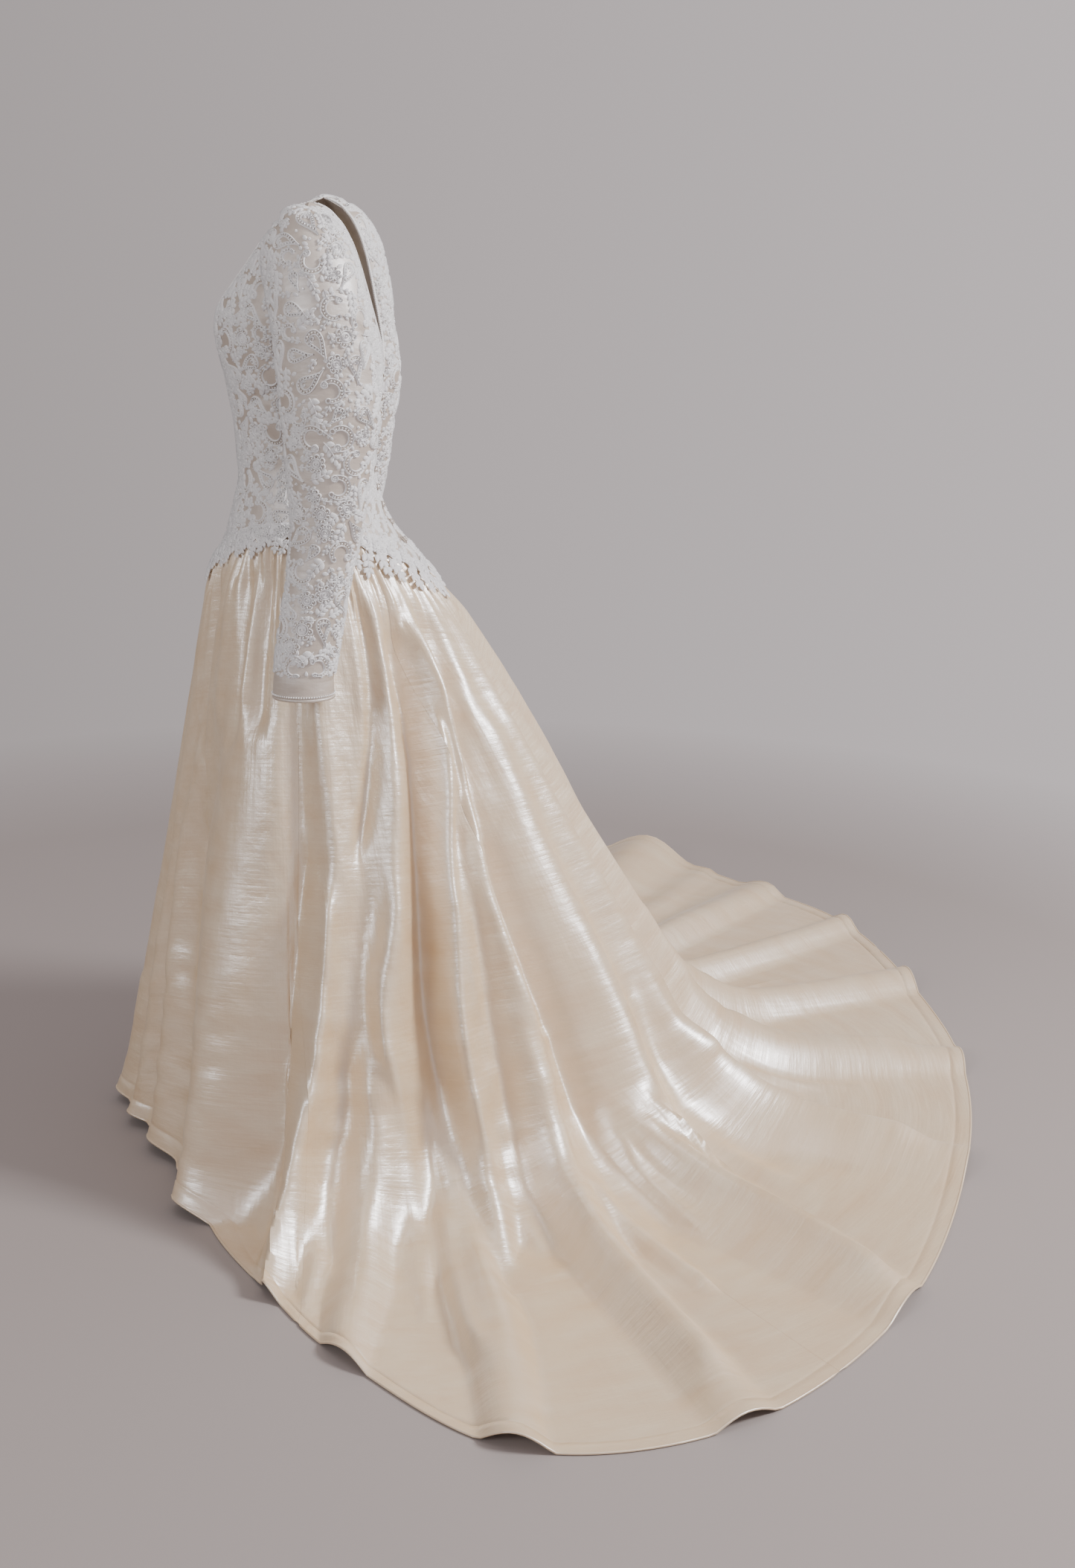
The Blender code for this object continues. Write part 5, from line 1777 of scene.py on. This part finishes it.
@dataclass
class SmallTrims:
    """Cuff pearls, and the loops of the covered buttons."""

    pearl: bpy.types.Material
    cuff_beads: int = 76

    def build(self) -> list[bpy.types.Object]:
        """Make the pearls and loops and round the buttons."""
        made = []
        wrist, flat, ripple = SleeveForm().wrist(self.cuff_beads)
        row = wrist + flat * (0.0020 + ripple)[:, None] + np.array([0, 0, -0.0195])
        for side in Side:
            beads = string_beads(f"cuff_pearls_{side.word}", mirror(row, side),
                                 np.full(len(row), 0.00145), self.pearl)
            finish_piece(beads)
            made.append(beads)
        made.append(self.loops())
        for name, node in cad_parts.items():
            if name.startswith("button_"):
                node.data.shade_smooth()
                rounder = node.modifiers.new("rounder", "SUBSURF")
                rounder.levels = rounder.render_levels = 2
                node.data.materials.clear()
                node.data.materials.append(bpy.data.materials["bodice_satin"])
        return made

    def loops(self) -> bpy.types.Object:
        """Make a small rolled loop round each button's shank side."""
        store = MeshStore()
        for height in np.linspace(1.185, 0.945, 10):
            bearing, level = np.array(180.0), np.array(height)
            point, normal = torso(bearing, level), torso_normal(bearing, level)
            up = unit(np.cross(np.array([1.0, 0.0, 0.0]), normal))
            angle = np.linspace(-0.62 * math.pi, 0.62 * math.pi, 15)[:, None]
            ring = point + normal * 0.0012
            path = ring - np.array([1.0, 0, 0]) * 0.0062 * np.cos(angle) + up * 0.0062 * np.sin(angle)
            raise_tube(store, path + np.array([0.0008, 0, 0]), 0.0008)
        obj = store.build("button_loops", bpy.data.materials["bodice_satin"])
        finish_piece(obj)
        return obj


@dataclass(frozen=True)
class Lamp:
    """A square soft light: where it hangs, what it faces, its side in metres and its watts."""

    name: str
    place: tuple[float, float, float]
    target: tuple[float, float, float]
    size: float
    power: float

    def hang(self) -> None:
        """Hang the light."""
        lamp = bpy.data.lights.new(self.name, "AREA")
        lamp.size = self.size
        lamp.energy = self.power
        obj = bpy.data.objects.new(self.name, lamp)
        obj.location = self.place
        way = Vector(self.target) - Vector(self.place)
        obj.rotation_euler = way.to_track_quat("-Z", "Y").to_euler()
        bpy.context.collection.objects.link(obj)


@dataclass
class Studio:
    """Plain floor, soft lights and the camera."""

    eye: tuple[float, float, float] = (3.23, 0.34, 0.11)
    tilt: float = 73.0
    floor_radius: float = 3.2
    fade_start: float = 1.60
    fade_stop: float = 2.45
    dim_wall: tuple[float, float, float] = (0.36, 0.32, 0.315)
    bright_wall: tuple[float, float, float] = (0.78, 0.71, 0.72)
    lamps: tuple[Lamp, ...] = (
        Lamp("key_light", (1.2, 3.9, 1.7), (0.0, 0.1, -0.7), 1.0, 255.0),
        Lamp("top_light", (0.9, -0.4, 2.9), (0.0, 0.4, -1.0), 1.8, 16.0),
        Lamp("fill_light", (3.4, -2.8, 0.9), (0.0, 0.0, -0.1), 1.2, 62.0),
    )

    def build(self) -> None:
        """Lay the floor, hang the lights and set the camera."""
        self.floor()
        self.world()
        for lamp in self.lamps:
            lamp.hang()
        camera = bpy.data.objects.new("camera", bpy.data.cameras.new("camera"))
        camera.data.lens = 50
        camera.data.sensor_width = 36
        camera.data.clip_end = 60
        camera.location = self.eye
        camera.rotation_euler = (math.radians(self.tilt), 0.0, math.radians(90))
        bpy.context.collection.objects.link(camera)
        bpy.context.scene.camera = camera

    def floor(self) -> None:
        """Lay a wide plain floor that fades into the backdrop."""
        mesh = bpy.data.meshes.new("floor")
        reach = self.floor_radius
        corners = [(-reach, -reach, 0), (reach, -reach, 0), (reach, reach, 0), (-reach, reach, 0)]
        mesh.from_pydata(corners, [], [(0, 1, 2, 3)])
        obj = bpy.data.objects.new("floor", mesh)
        obj.location = (0, 0, -SHOULDER_HEIGHT)
        bpy.context.collection.objects.link(obj)
        material = bpy.data.materials.new("studio_floor")
        material.use_nodes = True
        tree = material.node_tree
        shader = tree.nodes["Principled BSDF"]
        shader.inputs["Base Color"].default_value = (0.33, 0.29, 0.28, 1.0)
        shader.inputs["Roughness"].default_value = 0.7
        coords = tree.nodes.new("ShaderNodeTexCoord")
        scaled = tree.nodes.new("ShaderNodeMapping")
        scaled.inputs["Scale"].default_value = (0.16, 0.16, 0.16)
        sphere = tree.nodes.new("ShaderNodeTexGradient")
        sphere.gradient_type = "SPHERICAL"
        spread = tree.nodes.new("ShaderNodeMapRange")
        spread.inputs["From Min"].default_value = 1 - 0.16 * self.fade_stop
        spread.inputs["From Max"].default_value = 1 - 0.16 * self.fade_start
        tree.links.new(coords.outputs["Object"], scaled.inputs["Vector"])
        tree.links.new(scaled.outputs["Vector"], sphere.inputs["Vector"])
        tree.links.new(sphere.outputs["Fac"], spread.inputs["Value"])
        tree.links.new(spread.outputs["Result"], shader.inputs["Alpha"])
        mesh.materials.append(material)

    def world(self) -> None:
        """Set the plain backdrop, brighter on the side that the light comes from."""
        world = bpy.data.worlds.new("backdrop")
        world.use_nodes = True
        tree = world.node_tree
        coords = tree.nodes.new("ShaderNodeTexCoord")
        split = tree.nodes.new("ShaderNodeSeparateXYZ")
        spread = tree.nodes.new("ShaderNodeMapRange")
        spread.inputs["From Min"].default_value = -0.45
        spread.inputs["From Max"].default_value = 0.45
        ramp = tree.nodes.new("ShaderNodeValToRGB")
        ramp.color_ramp.elements[0].color = (*self.dim_wall, 1.0)
        ramp.color_ramp.elements[1].color = (*self.bright_wall, 1.0)
        tree.links.new(coords.outputs["Generated"], split.inputs["Vector"])
        tree.links.new(split.outputs["Y"], spread.inputs["Value"])
        tree.links.new(spread.outputs["Result"], ramp.inputs["Fac"])
        tree.links.new(ramp.outputs["Color"], tree.nodes["Background"].inputs["Color"])
        bpy.context.scene.world = world


def main() -> None:
    """Build every part of the dress in order."""
    satin = Satin()
    Skirt(satin).build()
    Bodice().build()
    Sleeves().build()
    thread, pearl = Thread().material(), Pearl().material()
    Lace(thread, pearl).build()
    NeckEdges(thread, pearl).build()
    BasqueEdge(thread, pearl).build()
    SmallTrims(pearl).build()
    Studio().build()


if __name__ == "__main__":
    logging.basicConfig(level=logging.INFO)
    main()
